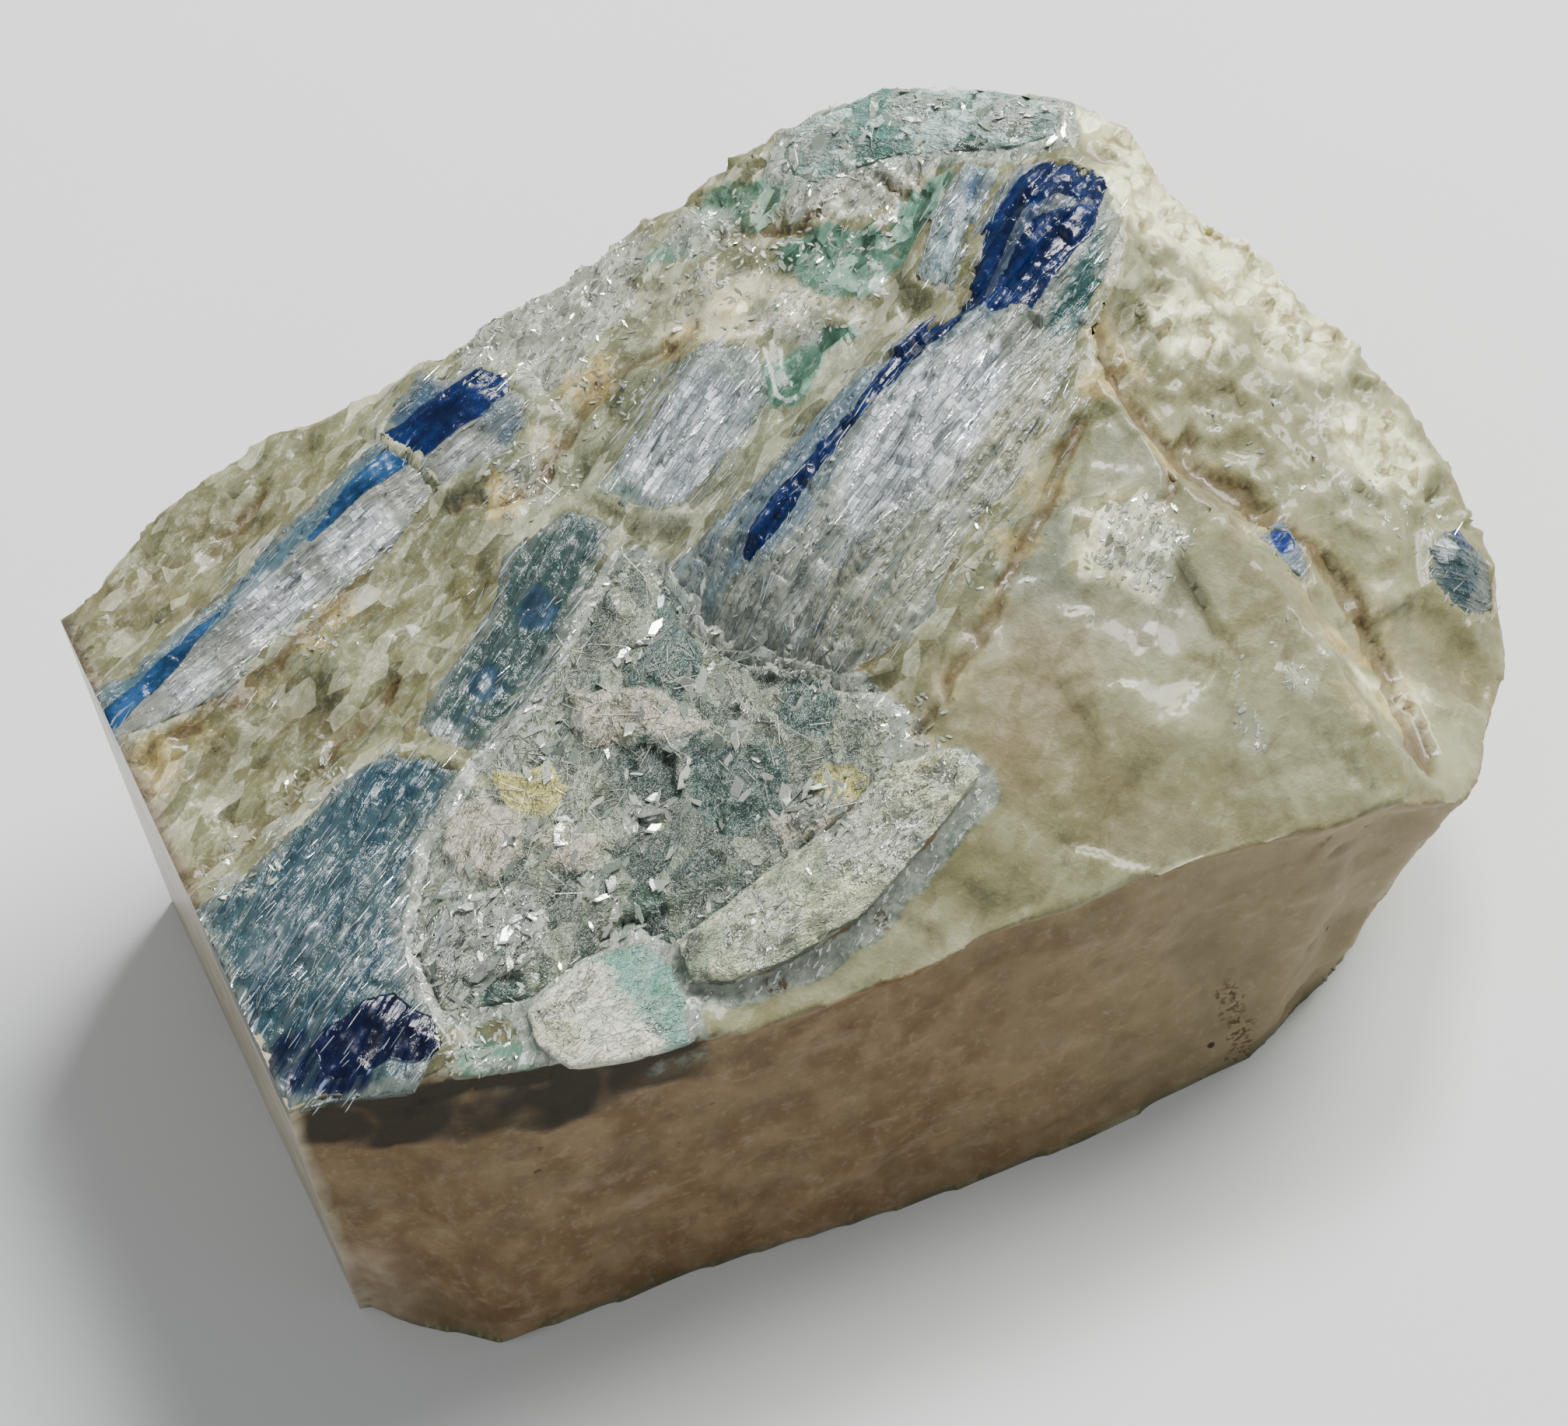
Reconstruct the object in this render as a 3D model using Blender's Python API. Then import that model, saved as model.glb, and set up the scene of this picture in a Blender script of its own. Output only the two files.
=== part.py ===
"""Kyanite blades in a block of milky quartz, sawn flat at one end and flat underneath.

Units are metres, and the tables of points are in millimetres. +X runs from the sawn end along the
block, +Y to its back and +Z up, away from the flat base.
"""
import math

import bmesh
import bpy
from mathutils import Vector, geometry, noise
from mathutils.bvhtree import BVHTree

MILLIMETRE = 0.001

# Driving dimensions of the block, in millimetres.
SAWN_END_X = -38.1
GAP = 0.35
MATRIX_EDGE = 3.2
LUMP_HEIGHT = 0.55
LUMP_SIZE = 7.0
CHIP_HEIGHT = 0.22
CHIP_SIZE = 2.6
LIP_DROP = 1.6

# How the crystals set in the block are drawn, in millimetres.
CROWN_REACH = 4.5
STEP_HEIGHT = 0.3
PARTING_SPACING = 6.5
OUTLINE_SPACING = 2.2
LANE_POINTS = 3.2
LANE_EDGE = 0.1
SIDE_CLEARANCE = 0.35
POCKET_TOP = 45.0
PAST_SAWN_END = 6.0

# The flat base, seen from above, from the sawn end round by the front.
BASE = [
    (-38.1, 13.5), (-38.1, -18.6), (-35.4, -22.1), (-31.3, -25.4), (-20.8, -26.2), (-6.9, -28.2),
    (5.6, -29.2), (16.5, -28.4), (23.0, -26.2), (27.2, -23.6), (29.5, -14.0), (30.0, -3.0),
    (27.0, 8.0), (19.0, 17.0), (7.0, 20.0), (-9.0, 18.5), (-25.0, 18.0),
]

# The rim, where the steep sides meet the upper face: x, y, z and how far the side is set back under it.
RIM = [
    (-38.1, 18.0, 25.2, 0.0), (-38.1, -18.9, 25.2, 0.0), (-31.7, -21.8, 25.0, 0.6),
    (-24.1, -23.9, 24.4, 1.0), (-16.8, -25.2, 23.4, 1.0), (-11.3, -26.7, 22.5, 1.4),
    (1.7, -27.2, 22.5, 1.8), (12.3, -27.5, 22.0, 1.6), (27.0, -28.4, 20.0, 1.6),
    (31.4, -28.8, 17.5, 1.4), (35.0, -24.5, 15.0, 0.6), (39.2, -19.7, 14.0, 0.4), (42.4, -12.5, 15.0, 0.3),
    (42.3, -7.0, 18.3, 0.3), (40.3, 0.4, 22.3, 0.3), (37.7, 7.6, 25.3, 0.3), (34.1, 12.9, 28.3, 0.3),
    (33.7, 17.4, 30.2, 0.3), (31.5, 20.4, 31.2, 0.3), (22.1, 27.5, 30.0, 0.3), (16.4, 28.0, 30.0, 0.3),
    (12.0, 28.0, 29.5, 0.3), (3.4, 26.1, 28.6, 0.3), (-8.6, 24.5, 27.2, 0.3), (-22.3, 24.5, 26.0, 0.3),
    (-30.5, 22.7, 25.3, 0.3),
]

# Lines on the upper face inside the rim. Each is a break in the stone, from one point to the next.
CREASES = {
    "foot_of_blades": [
        (-9.2, -23.3, 23.8), (-1.0, -21.7, 25.2), (4.5, -19.2, 26.6), (5.5, -14.0, 27.6), (9.5, -10.5, 28.8),
        (15.9, -3.9, 29.8), (22.0, 0.2, 30.3), (28.2, 8.5, 30.8),
    ],
    "ridge": [(22.6, 0.8, 30.7), (24.0, -5.6, 29.8), (25.6, -11.6, 27.9), (27.2, -18.2, 25.3),
              (28.0, -24.8, 22.1)],
    "groove": [
        (25.8, 3.6, 29.0), (26.5, -5.2, 25.2), (28.2, -10.8, 22.9), (30.2, -18.0, 19.7), (31.0, -24.6, 17.6),
    ],
    "slope": [(13.0, -14.5, 27.6), (19.0, -9.5, 28.6), (22.0, -7.0, 29.0)],
    "slope_front": [(8.0, -22.5, 24.8), (17.0, -20.5, 25.2), (22.5, -19.0, 25.0)],
    "end": [(31.5, 2.0, 27.0), (33.5, -6.0, 24.6), (35.5, -13.0, 20.6)],
    "back": [(31.4, 14.0, 31.2), (26.5, 19.5, 31.6), (18.0, 23.5, 30.8), (8.0, 20.0, 29.6)],
    "floor": [(-30.0, 0.0, 25.4), (-18.0, 5.0, 26.0), (-4.0, 8.0, 27.2), (10.0, 12.0, 29.2)],
    "low_floor": [(-24.0, -12.0, 25.2), (-12.0, -10.0, 25.2), (-3.0, -12.0, 25.8)],
}

# Crystals and mica set in the upper face, each outline drawn from above. The grain is the direction of
# the length in degrees from +X and a lane is one flat strip along it. The top stands proud of the stone
# and rises by the crown; the foot is sunk under the stone and smaller than the outline by the taper.
CRYSTALS = {
    "kyanite_blade_back": {
        "outline": [
            (-38.1, 11.2), (-36.1, 12.2), (-29.3, 14.6), (-26.2, 16.4), (-20.0, 18.6), (-16.4, 20.4),
            (-15.2, 17.6),
            (-14.6, 14.9), (-19.5, 11.8), (-26.9, 10.0), (-31.0, 7.8), (-38.1, 7.6),
        ],
        "grain": 18.0, "lane": 1.5, "proud": 0.30, "crown": 0.4, "sunk": 3.4, "taper": 0.6,
        "mineral": "pale_kyanite",
    },
    "kyanite_blade_back_tip": {
        "outline": [
            (-16.3, 20.9), (-12.0, 23.3), (-10.8, 21.8), (-8.9, 22.3), (-7.6, 20.2), (-7.2, 17.2),
            (-9.4, 14.6),
            (-14.4, 14.6), (-15.0, 17.8),
        ],
        "grain": 18.0, "lane": 1.7, "proud": 0.60, "crown": 0.3, "sunk": 3.4, "taper": 0.8,
        "mineral": "blue_kyanite",
    },
    "kyanite_blade_silver": {
        "outline": [
            (-6.4, 9.9), (-1.1, 13.0), (3.5, 16.0), (6.1, 13.4), (5.6, 9.8), (1.4, 7.2), (-2.0, 5.6),
            (-4.9, 7.0),
        ],
        "grain": 31.0, "lane": 1.6, "proud": 0.35, "crown": 0.3, "sunk": 3.4, "taper": 0.6,
        "mineral": "pale_kyanite",
    },
    "kyanite_blade_teal": {
        "outline": [
            (-8.0, 9.6), (-12.9, 8.4), (-14.9, 5.2), (-18.1, 3.4), (-22.3, 0.1), (-20.6, -2.6), (-19.2, -3.4),
            (-15.0, -1.4), (-10.9, 2.2), (-6.2, 6.6),
        ],
        "grain": 37.0, "lane": 1.6, "proud": 0.25, "crown": 0.3, "sunk": 3.4, "taper": 0.6,
        "mineral": "green_kyanite",
    },
    "kyanite_blade_front": {
        "outline": [
            (-38.1, -6.9), (-34.0, -4.4), (-26.1, -0.6), (-24.0, -0.6), (-21.9, -2.5), (-20.6, -4.3),
            (-24.8, -7.6), (-28.1, -12.6), (-28.6, -18.3), (-28.8, -20.4), (-31.4, -22.4), (-35.8, -20.8),
            (-38.1, -19.6),
        ],
        "grain": 38.0, "lane": 2.0, "proud": 0.40, "crown": 0.4, "sunk": 3.0, "taper": 1.7,
        "mineral": "blue_kyanite",
    },
    "kyanite_blade_main": {
        "outline": [
            (-4.9, 2.6), (1.6, 4.8), (8.7, 8.0), (16.1, 9.6), (18.6, 9.6), (21.4, 13.6), (23.6, 15.6),
            (25.6, 16.6), (28.2, 16.0), (29.6, 13.6), (29.2, 10.4), (26.6, 6.6), (23.4, 3.6),
            (20.4, 0.2), (15.6, -3.4),
            (10.9, -6.6), (7.0, -9.6), (1.4, -10.0), (-0.5, -7.5), (-3.5, -4.5), (-4.7, -1.6), (-4.4, 0.2),
        ],
        "grain": 29.5, "lane": 1.8, "proud": 0.50, "crown": 1.8, "sunk": 4.4, "taper": 1.2,
        "mineral": "blue_kyanite",
    },
    "kyanite_blade_pale": {
        "outline": [(16.6, 12.8), (19.8, 16.4), (22.9, 18.6), (24.6, 17.0), (22.4, 15.1),
                    (20.3, 13.2), (18.0, 10.4)],
        "grain": 41.0, "lane": 1.2, "proud": 0.50, "crown": 0.3, "sunk": 3.4, "taper": 0.5,
        "mineral": "pale_kyanite",
    },
    "mica_mass": {
        "outline": [
            (-18.9, -4.0), (-14.8, -2.0), (-10.6, 1.6), (-6.4, 4.6), (-5.4, 2.6), (-4.9, 0.2), (-5.2, -1.8),
            (-4.0, -5.0), (-1.0, -8.1), (1.0, -10.6), (2.4, -13.2), (0.4, -15.8), (-2.6, -17.2),
            (-8.2, -18.0), (-14.6, -19.6), (-16.0, -18.0), (-19.6, -18.2), (-23.4, -19.4),
            (-28.0, -18.2), (-27.6, -12.8), (-24.4, -8.0),
            (-20.3, -4.9),
        ],
        "grain": 36.0, "lane": 2.4, "proud": 0.00, "crown": 0.5, "sunk": 3.2, "taper": 0.8,
        "mineral": "green_mica",
    },
    "mica_ledge": {
        "outline": [
            (-14.4, -20.2), (-8.2, -18.6), (-2.3, -17.8), (1.1, -16.4), (4.6, -17.6), (5.2, -19.4),
            (2.0, -20.9),
            (-1.2, -22.2), (-4.6, -23.4), (-9.2, -23.8), (-12.6, -23.6), (-14.7, -22.6),
        ],
        "grain": 12.0, "lane": 1.3, "proud": 0.90, "crown": 0.7, "sunk": 2.6, "taper": 1.0,
        "mineral": "pale_mica",
    },
    "mica_shell": {
        "outline": [
            (-23.7, -20.2), (-19.8, -18.7), (-16.2, -18.9), (-15.3, -20.4), (-15.4, -23.2), (-16.2, -25.8),
            (-19.6, -25.4), (-23.0, -24.6), (-24.0, -22.6),
        ],
        "grain": 10.0, "lane": 1.8, "proud": 0.40, "crown": 1.1, "sunk": 2.2, "taper": 1.5,
        "mineral": "pale_mica",
    },
    "mica_cap": {
        "outline": [
            (13.0, 24.8), (15.0, 27.3), (21.4, 27.5), (27.0, 23.4), (29.8, 19.8), (28.8, 17.8), (25.6, 18.2),
            (22.9, 19.8), (19.4, 21.6), (14.4, 22.6),
        ],
        "grain": -36.0, "lane": 2.2, "proud": 0.10, "crown": 0.6, "sunk": 1.8, "taper": 1.0,
        "mineral": "green_mica",
    },
    "kyanite_stub": {
        "outline": [(36.6, -14.4), (38.2, -11.6), (40.4, -11.0), (41.4, -13.2), (40.2, -15.8), (38.0, -16.8)],
        "grain": -20.0, "lane": 1.3, "proud": 0.20, "crown": 0.8, "sunk": 1.8, "taper": 0.6,
        "mineral": "green_kyanite",
    },
    "kyanite_chip": {
        "outline": [(26.9, -10.4), (29.6, -9.4), (29.8, -11.4), (29.2, -13.4), (28.2, -11.8)],
        "grain": 20.0, "lane": 0.9, "proud": 0.50, "crown": 0.4, "sunk": 2.0, "taper": 0.3,
        "mineral": "blue_kyanite",
    },
}

# Colour and roughness of each mineral.
MINERALS = {
    "quartz": ((0.60, 0.56, 0.48), 0.45),
    "blue_kyanite": ((0.06, 0.13, 0.42), 0.28),
    "pale_kyanite": ((0.42, 0.50, 0.58), 0.25),
    "green_kyanite": ((0.14, 0.30, 0.32), 0.30),
    "green_mica": ((0.36, 0.46, 0.40), 0.35),
    "pale_mica": ((0.66, 0.66, 0.54), 0.40),
}


def clear_scene():
    for obj in list(bpy.data.objects):
        bpy.data.objects.remove(obj)


def finish(name, color, roughness):
    """A plain material for one mineral."""
    material = bpy.data.materials.new(name)
    material.use_nodes = True
    shader = material.node_tree.nodes["Principled BSDF"]
    shader.inputs["Base Color"].default_value = (*color, 1.0)
    shader.inputs["Roughness"].default_value = roughness
    shader.inputs["Metallic"].default_value = 0.0
    return material


def add_object(name, mesh_data, material):
    """Closes a bmesh in millimetres into one named object in metres."""
    bmesh.ops.recalc_face_normals(mesh_data, faces=mesh_data.faces)
    bmesh.ops.scale(mesh_data, vec=(MILLIMETRE,) * 3, verts=mesh_data.verts)
    mesh = bpy.data.meshes.new(name)
    mesh_data.to_mesh(mesh)
    mesh_data.free()
    obj = bpy.data.objects.new(name, mesh)
    bpy.context.scene.collection.objects.link(obj)
    obj.data.materials.append(material)
    return obj


def upper_face():
    """Points and triangles of the block's upper face, before its roughness."""
    points = [Vector(p[:3]) for p in RIM]
    lines = [(i, (i + 1) % len(RIM)) for i in range(len(RIM))]
    for crease in CREASES.values():
        first = len(points)
        points += [Vector(p) for p in crease]
        lines += [(i, i + 1) for i in range(first, len(points) - 1)]
    flat = [p.to_2d() for p in points]
    _, _, faces, _, _, _ = geometry.delaunay_2d_cdt(flat, lines, [], 1, 1e-6)
    return points, faces


def block_cage():
    """The block's main facets: base, set-back sides, rim and upper face."""
    cage = bmesh.new()
    points, faces = upper_face()
    top = [cage.verts.new(p) for p in points]
    for face in faces:
        cage.faces.new([top[i] for i in face])
    middle = Vector((0.0, -1.0, 0.0))
    brow = []
    for x, y, z, set_back in RIM:
        inward = (middle - Vector((x, y, 0.0))).normalized() * set_back
        if x <= SAWN_END_X:
            inward.x = 0.0
        brow.append(cage.verts.new((x + inward.x, y + inward.y, z - LIP_DROP)))
    base = [cage.verts.new((x, y, 0.0)) for x, y in BASE]
    count = len(RIM)
    for i in range(count):
        j = (i + 1) % count
        cage.faces.new([top[j], top[i], brow[i], brow[j]])
    brow_edges = [cage.edges.get((brow[i], brow[(i + 1) % count])) for i in range(count)]
    base_edges = [cage.edges.new((base[i], base[(i + 1) % len(base)])) for i in range(len(base))]
    bmesh.ops.bridge_loops(cage, edges=brow_edges + base_edges)
    cage.faces.new(base)
    bmesh.ops.triangulate(cage, faces=cage.faces)
    return cage


def split_long_edges(rock, longest):
    """Halves every edge longer than this, until the facets have an even grain."""
    while True:
        found = [e for e in rock.edges if e.calc_length() > longest]
        if not found:
            return
        bmesh.ops.subdivide_edges(rock, edges=found, cuts=1)
        bmesh.ops.triangulate(rock, faces=[f for f in rock.faces if len(f.verts) > 3])


def roughness_at(point):
    """How far the broken surface stands out at a point: broad lumps and small chips."""
    lump = noise.fractal(point / LUMP_SIZE, 1.0, 2.0, 2)
    chip = noise.noise(point / CHIP_SIZE)
    return LUMP_HEIGHT * lump + CHIP_HEIGHT * chip


def roughen(rock):
    """Moves the broken faces out and in; the base and the sawn end stay flat."""
    rock.normal_update()
    moves = {}
    for vert in rock.verts:
        move = vert.normal * roughness_at(vert.co)
        if vert.co.z < 0.01:
            move.z = 0.0
        if vert.co.x < SAWN_END_X + 0.01:
            move.x = 0.0
        moves[vert] = move
    for vert, move in moves.items():
        vert.co += move
        vert.co.z = max(vert.co.z, 0.0)
        vert.co.x = max(vert.co.x, SAWN_END_X)


def moved_out(corners, distance):
    """The corners of an outline moved out by this distance, or in if it is negative."""
    area = sum(a.cross(b) for a, b in zip(corners, corners[1:] + corners[:1]))
    turn = 1.0 if area > 0.0 else -1.0
    moved = []
    for i, corner in enumerate(corners):
        before = (corner - corners[i - 1]).normalized()
        after = (corners[(i + 1) % len(corners)] - corner).normalized()
        out_before = Vector((before.y, -before.x)) * turn
        out_after = Vector((after.y, -after.x)) * turn
        out = (out_before + out_after).normalized()
        moved.append(corner + out * distance / max(out.dot(out_before), 0.6))
    return moved


def ring_of(crystal, distance):
    """Evenly spaced points round a crystal's outline, moved out by this distance."""
    corners = [Vector(p) for p in crystal["outline"]]
    moved = moved_out(corners, distance)
    points = []
    for i, corner in enumerate(corners):
        j = (i + 1) % len(corners)
        steps = max(1, round((corners[j] - corner).length / OUTLINE_SPACING))
        points += [moved[i].lerp(moved[j], step / steps) for step in range(steps)]
    return points


def is_inside(point, ring):
    """Whether a point lies inside the ring."""
    crossings = 0
    for a, b in zip(ring, ring[1:] + ring[:1]):
        if (a.y > point.y) != (b.y > point.y):
            if point.x < a.x + (b.x - a.x) * (point.y - a.y) / (b.y - a.y):
                crossings += 1
    return crossings % 2 == 1


def distance_to(point, ring):
    """The distance from a point to the nearest side of the ring."""
    nearest = math.inf
    for a, b in zip(ring, ring[1:] + ring[:1]):
        share = (point - a).dot(b - a) / (b - a).length_squared
        nearest = min(nearest, (point - a.lerp(b, min(max(share, 0.0), 1.0))).length)
    return nearest


def stone_surface():
    """The block's smooth upper face, for setting crystals on."""
    points, faces = upper_face()
    return BVHTree.FromPolygons(points, faces)


def stone_height(surface, point):
    """The height of the upper face at a point seen from above; past its rim, that of the rim."""
    hit = surface.ray_cast(Vector((point.x, point.y, 100.0)), Vector((0.0, 0.0, -1.0)))[0]
    if hit is None:
        hit = surface.find_nearest(Vector((point.x, point.y, 24.0)))[0]
    return hit.z


def grain_of(crystal):
    """Directions along and across a crystal's grain, seen from above."""
    angle = math.radians(crystal["grain"])
    along = Vector((math.cos(angle), math.sin(angle)))
    return along, Vector((-along.y, along.x))


def lane_points(crystal, ring):
    """Points inside the ring, two rows to a lane, so that every lane is a flat strip."""
    along, across = grain_of(crystal)
    reach = max(p.length for p in ring)
    lanes = math.ceil(reach / crystal["lane"])
    steps = math.ceil(reach / LANE_POINTS)
    points = []
    for lane in range(-lanes, lanes):
        for row in (lane + LANE_EDGE, lane + 1.0 - LANE_EDGE):
            for step in range(-steps, steps + 1):
                point = across * crystal["lane"] * row + along * LANE_POINTS * step
                if is_inside(point, ring) and distance_to(point, ring) > SIDE_CLEARANCE:
                    points.append(point)
    return points


def top_height(crystal, surface, ring, point):
    """Height of a crystal's top: a crown over its width, broken into long flat lanes."""
    along, across = grain_of(crystal)
    rise = min(1.0, distance_to(point, ring) / CROWN_REACH)
    lane = math.floor(point.dot(across) / crystal["lane"])
    part = math.floor(point.dot(along) / PARTING_SPACING + 0.37 * lane)
    step = STEP_HEIGHT * noise.cell(Vector((lane * 1.7, part * 2.3, crystal["grain"])))
    crown = crystal["crown"] * math.sin(rise * math.pi / 2.0)
    return stone_height(surface, point) + crystal["proud"] + crown + step * rise


def sheet(body, points, heights, sides):
    """Adds triangles over points seen from above, each at its height."""
    flat, _, faces, _, _, _ = geometry.delaunay_2d_cdt(points, sides, [], 1, 1e-6)
    verts = [body.verts.new((p.x, p.y, z)) for p, z in zip(flat, heights)]
    for face in faces:
        body.faces.new([verts[i] for i in face])
    return verts


def join_rings(body, upper, lower):
    for i in range(len(upper)):
        j = (i + 1) % len(upper)
        body.faces.new([upper[i], upper[j], lower[j], lower[i]])


def crystal_body(crystal, surface):
    """One crystal as a closed body: striated top, sides and a foot under the stone."""
    ring = ring_of(crystal, -GAP / 2.0)
    foot = ring_of(crystal, -GAP / 2.0 - crystal["taper"])
    sides = [(i, (i + 1) % len(ring)) for i in range(len(ring))]
    points = ring + lane_points(crystal, ring)
    tops = [top_height(crystal, surface, ring, p) for p in points]
    feet = [stone_height(surface, p) - crystal["sunk"] for p in foot]
    body = bmesh.new()
    upper = sheet(body, points, tops, sides)[:len(ring)]
    lower = sheet(body, foot, feet, sides)
    join_rings(body, upper, lower)
    bmesh.ops.triangulate(body, faces=[f for f in body.faces if len(f.verts) > 3])
    return body


def pocket_body(crystal, surface):
    """The space a crystal sits in: its sides and foot moved out by the gap, and open above."""
    ring = ring_of(crystal, GAP / 2.0)
    inner = ring_of(crystal, -GAP / 2.0)
    foot = ring_of(crystal, GAP / 2.0 - crystal["taper"])
    sides = [(i, (i + 1) % len(ring)) for i in range(len(ring))]
    rims = [stone_height(surface, p) + crystal["proud"] for p in inner]
    feet = [stone_height(surface, p) - crystal["sunk"] - GAP for p in foot]
    body = bmesh.new()
    upper = sheet(body, ring, [POCKET_TOP] * len(ring), sides)
    middle = [body.verts.new((p.x, p.y, z)) for p, z in zip(ring, rims)]
    lower = sheet(body, foot, feet, sides)
    join_rings(body, upper, middle)
    join_rings(body, middle, lower)
    bmesh.ops.triangulate(body, faces=[f for f in body.faces if len(f.verts) > 3])
    return body


def trim_to_sawn_end(body):
    """Cuts a body off flush with the sawn end."""
    if min(v.co.x for v in body.verts) >= SAWN_END_X:
        return
    geom = body.verts[:] + body.edges[:] + body.faces[:]
    bmesh.ops.bisect_plane(
        body, geom=geom, plane_co=(SAWN_END_X, 0, 0), plane_no=(-1, 0, 0), clear_outer=True
    )
    bmesh.ops.holes_fill(body, edges=[e for e in body.edges if e.is_boundary])
    bmesh.ops.triangulate(body, faces=[f for f in body.faces if len(f.verts) > 3])


def reach_past_sawn_end(crystal):
    """The outline with what lies on the sawn end drawn past it, so that the cut is clean."""
    past = [(x - PAST_SAWN_END, y) if x <= SAWN_END_X else (x, y) for x, y in crystal["outline"]]
    return {**crystal, "outline": past}


def cut_pocket(matrix, name, pocket):
    """Cuts a pocket out of the block."""
    pocket.hide_render = True
    pocket.display_type = "WIRE"
    cut = matrix.modifiers.new(name, "BOOLEAN")
    cut.operation = "DIFFERENCE"
    cut.solver = "EXACT"
    cut.object = pocket


def main():
    clear_scene()
    finishes = {name: finish(name, *look) for name, look in MINERALS.items()}
    surface = stone_surface()
    rock = block_cage()
    split_long_edges(rock, MATRIX_EDGE)
    roughen(rock)
    matrix = add_object("quartz_matrix", rock, finishes["quartz"])
    for name, drawn in CRYSTALS.items():
        crystal = reach_past_sawn_end(drawn)
        body = crystal_body(crystal, surface)
        trim_to_sawn_end(body)
        add_object(name, body, finishes[crystal["mineral"]])
        pocket = add_object(name + "_pocket", pocket_body(crystal, surface), finishes["quartz"])
        cut_pocket(matrix, name, pocket)


main()
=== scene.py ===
# %% [markdown]
# # Kyanite in quartz
#
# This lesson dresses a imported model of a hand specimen: a block of milky quartz, sawn flat at one end,
# with blades of kyanite and flakes of mica in its upper face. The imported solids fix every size. What the
# lesson adds is what the eye sees: broken quartz, striated blades, pearly flakes and stains of iron.

# %% The frame that everything is built on
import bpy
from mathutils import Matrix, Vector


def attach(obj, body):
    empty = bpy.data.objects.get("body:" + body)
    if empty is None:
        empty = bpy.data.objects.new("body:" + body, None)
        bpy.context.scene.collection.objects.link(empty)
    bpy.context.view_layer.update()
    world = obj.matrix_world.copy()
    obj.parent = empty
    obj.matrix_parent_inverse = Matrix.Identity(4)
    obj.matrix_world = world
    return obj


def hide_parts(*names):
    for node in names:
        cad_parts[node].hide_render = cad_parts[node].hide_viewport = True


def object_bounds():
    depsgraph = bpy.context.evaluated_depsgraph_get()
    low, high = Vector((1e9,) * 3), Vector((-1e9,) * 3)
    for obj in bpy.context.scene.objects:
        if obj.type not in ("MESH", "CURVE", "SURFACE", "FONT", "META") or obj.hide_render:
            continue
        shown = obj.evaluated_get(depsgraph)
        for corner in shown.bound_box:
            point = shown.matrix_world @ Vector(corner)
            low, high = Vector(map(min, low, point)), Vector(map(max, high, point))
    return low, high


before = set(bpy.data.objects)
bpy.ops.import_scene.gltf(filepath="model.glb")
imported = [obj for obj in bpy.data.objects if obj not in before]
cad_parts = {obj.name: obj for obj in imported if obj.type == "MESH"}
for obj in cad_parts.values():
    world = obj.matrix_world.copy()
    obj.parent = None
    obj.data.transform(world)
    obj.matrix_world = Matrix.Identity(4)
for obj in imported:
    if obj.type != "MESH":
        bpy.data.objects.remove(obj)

cad_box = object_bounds()
print("solids in the frame:", len(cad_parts))

# %% Tools used all through the lesson
import math
import random

import bmesh
import bpy
import numpy as np
from mathutils import Vector, noise
from mathutils.bvhtree import BVHTree

MM = 0.001
SAWN_END = -38.1
GRAIN = math.radians(31.0)


def smoothstep(low, high, values):
    """0 below low, 1 above high and a smooth rise between them."""
    share = np.clip((values - low) / (high - low), 0.0, 1.0)
    return share * share * (3.0 - 2.0 * share)


def turned(points, angle):
    """Points with their x along a direction seen from above and their y across it."""
    cos, sin = math.cos(angle), math.sin(angle)
    out = points.copy()
    out[:, 0] = points[:, 0] * cos + points[:, 1] * sin
    out[:, 1] = points[:, 1] * cos - points[:, 0] * sin
    return out


def points_of(piece):
    """A piece's points in millimetres."""
    flat = np.empty(len(piece.data.vertices) * 3)
    piece.data.vertices.foreach_get("co", flat)
    return flat.reshape(-1, 3) / MM


def normals_of(piece):
    flat = np.empty(len(piece.data.vertices) * 3)
    piece.data.vertices.foreach_get("normal", flat)
    return flat.reshape(-1, 3)


def move_points(piece, points):
    """Puts a piece's points at these places in millimetres."""
    piece.data.vertices.foreach_set("co", (points * MM).ravel())
    piece.data.update()


def paint(piece, name, values):
    """Stores one number per point, for a material to read."""
    layer = piece.data.attributes.new(name, "FLOAT", "POINT")
    layer.data.foreach_set("value", np.asarray(values, dtype=np.float32))


# %% [markdown]
# ## Patterns in stone
#
# Broken stone isn't a smooth wave. It is made of small flat chips, each tilted its own way, with sharp
# edges between them. A Voronoi pattern gives just that: every cell gets a tilt of its own, and the height
# is measured on that tilted plane. Ordinary noise on top softens the look where water and hands have.

# %% Patterns worked out point by point
def wave(points, size, seed=0.0):
    """Soft noise, about -1 to 1, whose lumps are this many millimetres wide."""
    shift = Vector((seed, seed * 1.7, -seed))
    return np.array([noise.noise(Vector(p) / size + shift) for p in points])


def lumps(points, size, seed=0.0, octaves=4):
    shift = Vector((seed, seed * 1.7, -seed))
    return np.array([noise.fractal(Vector(p) / size + shift, 0.9, 2.1, octaves) for p in points])


def chips(points, size, seed=0.0):
    """Heights of flat chips this many millimetres wide, each tilted its own way, about -0.5 to 0.5."""
    shift = Vector((seed, seed * 1.7, -seed))
    heights = np.empty(len(points))
    for i, p in enumerate(points):
        q = Vector(p) / size + shift
        seeds = noise.voronoi(q)[1]
        heights[i] = noise.noise_vector(seeds[0] * 7.3).dot(q - seeds[0])
    return heights


def warped(points, size, amount):
    """Points pushed about by soft noise, so that a drawn border looks grown."""
    push = np.array([noise.noise_vector(Vector(p) / size) for p in points])
    return points + push * amount


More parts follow.
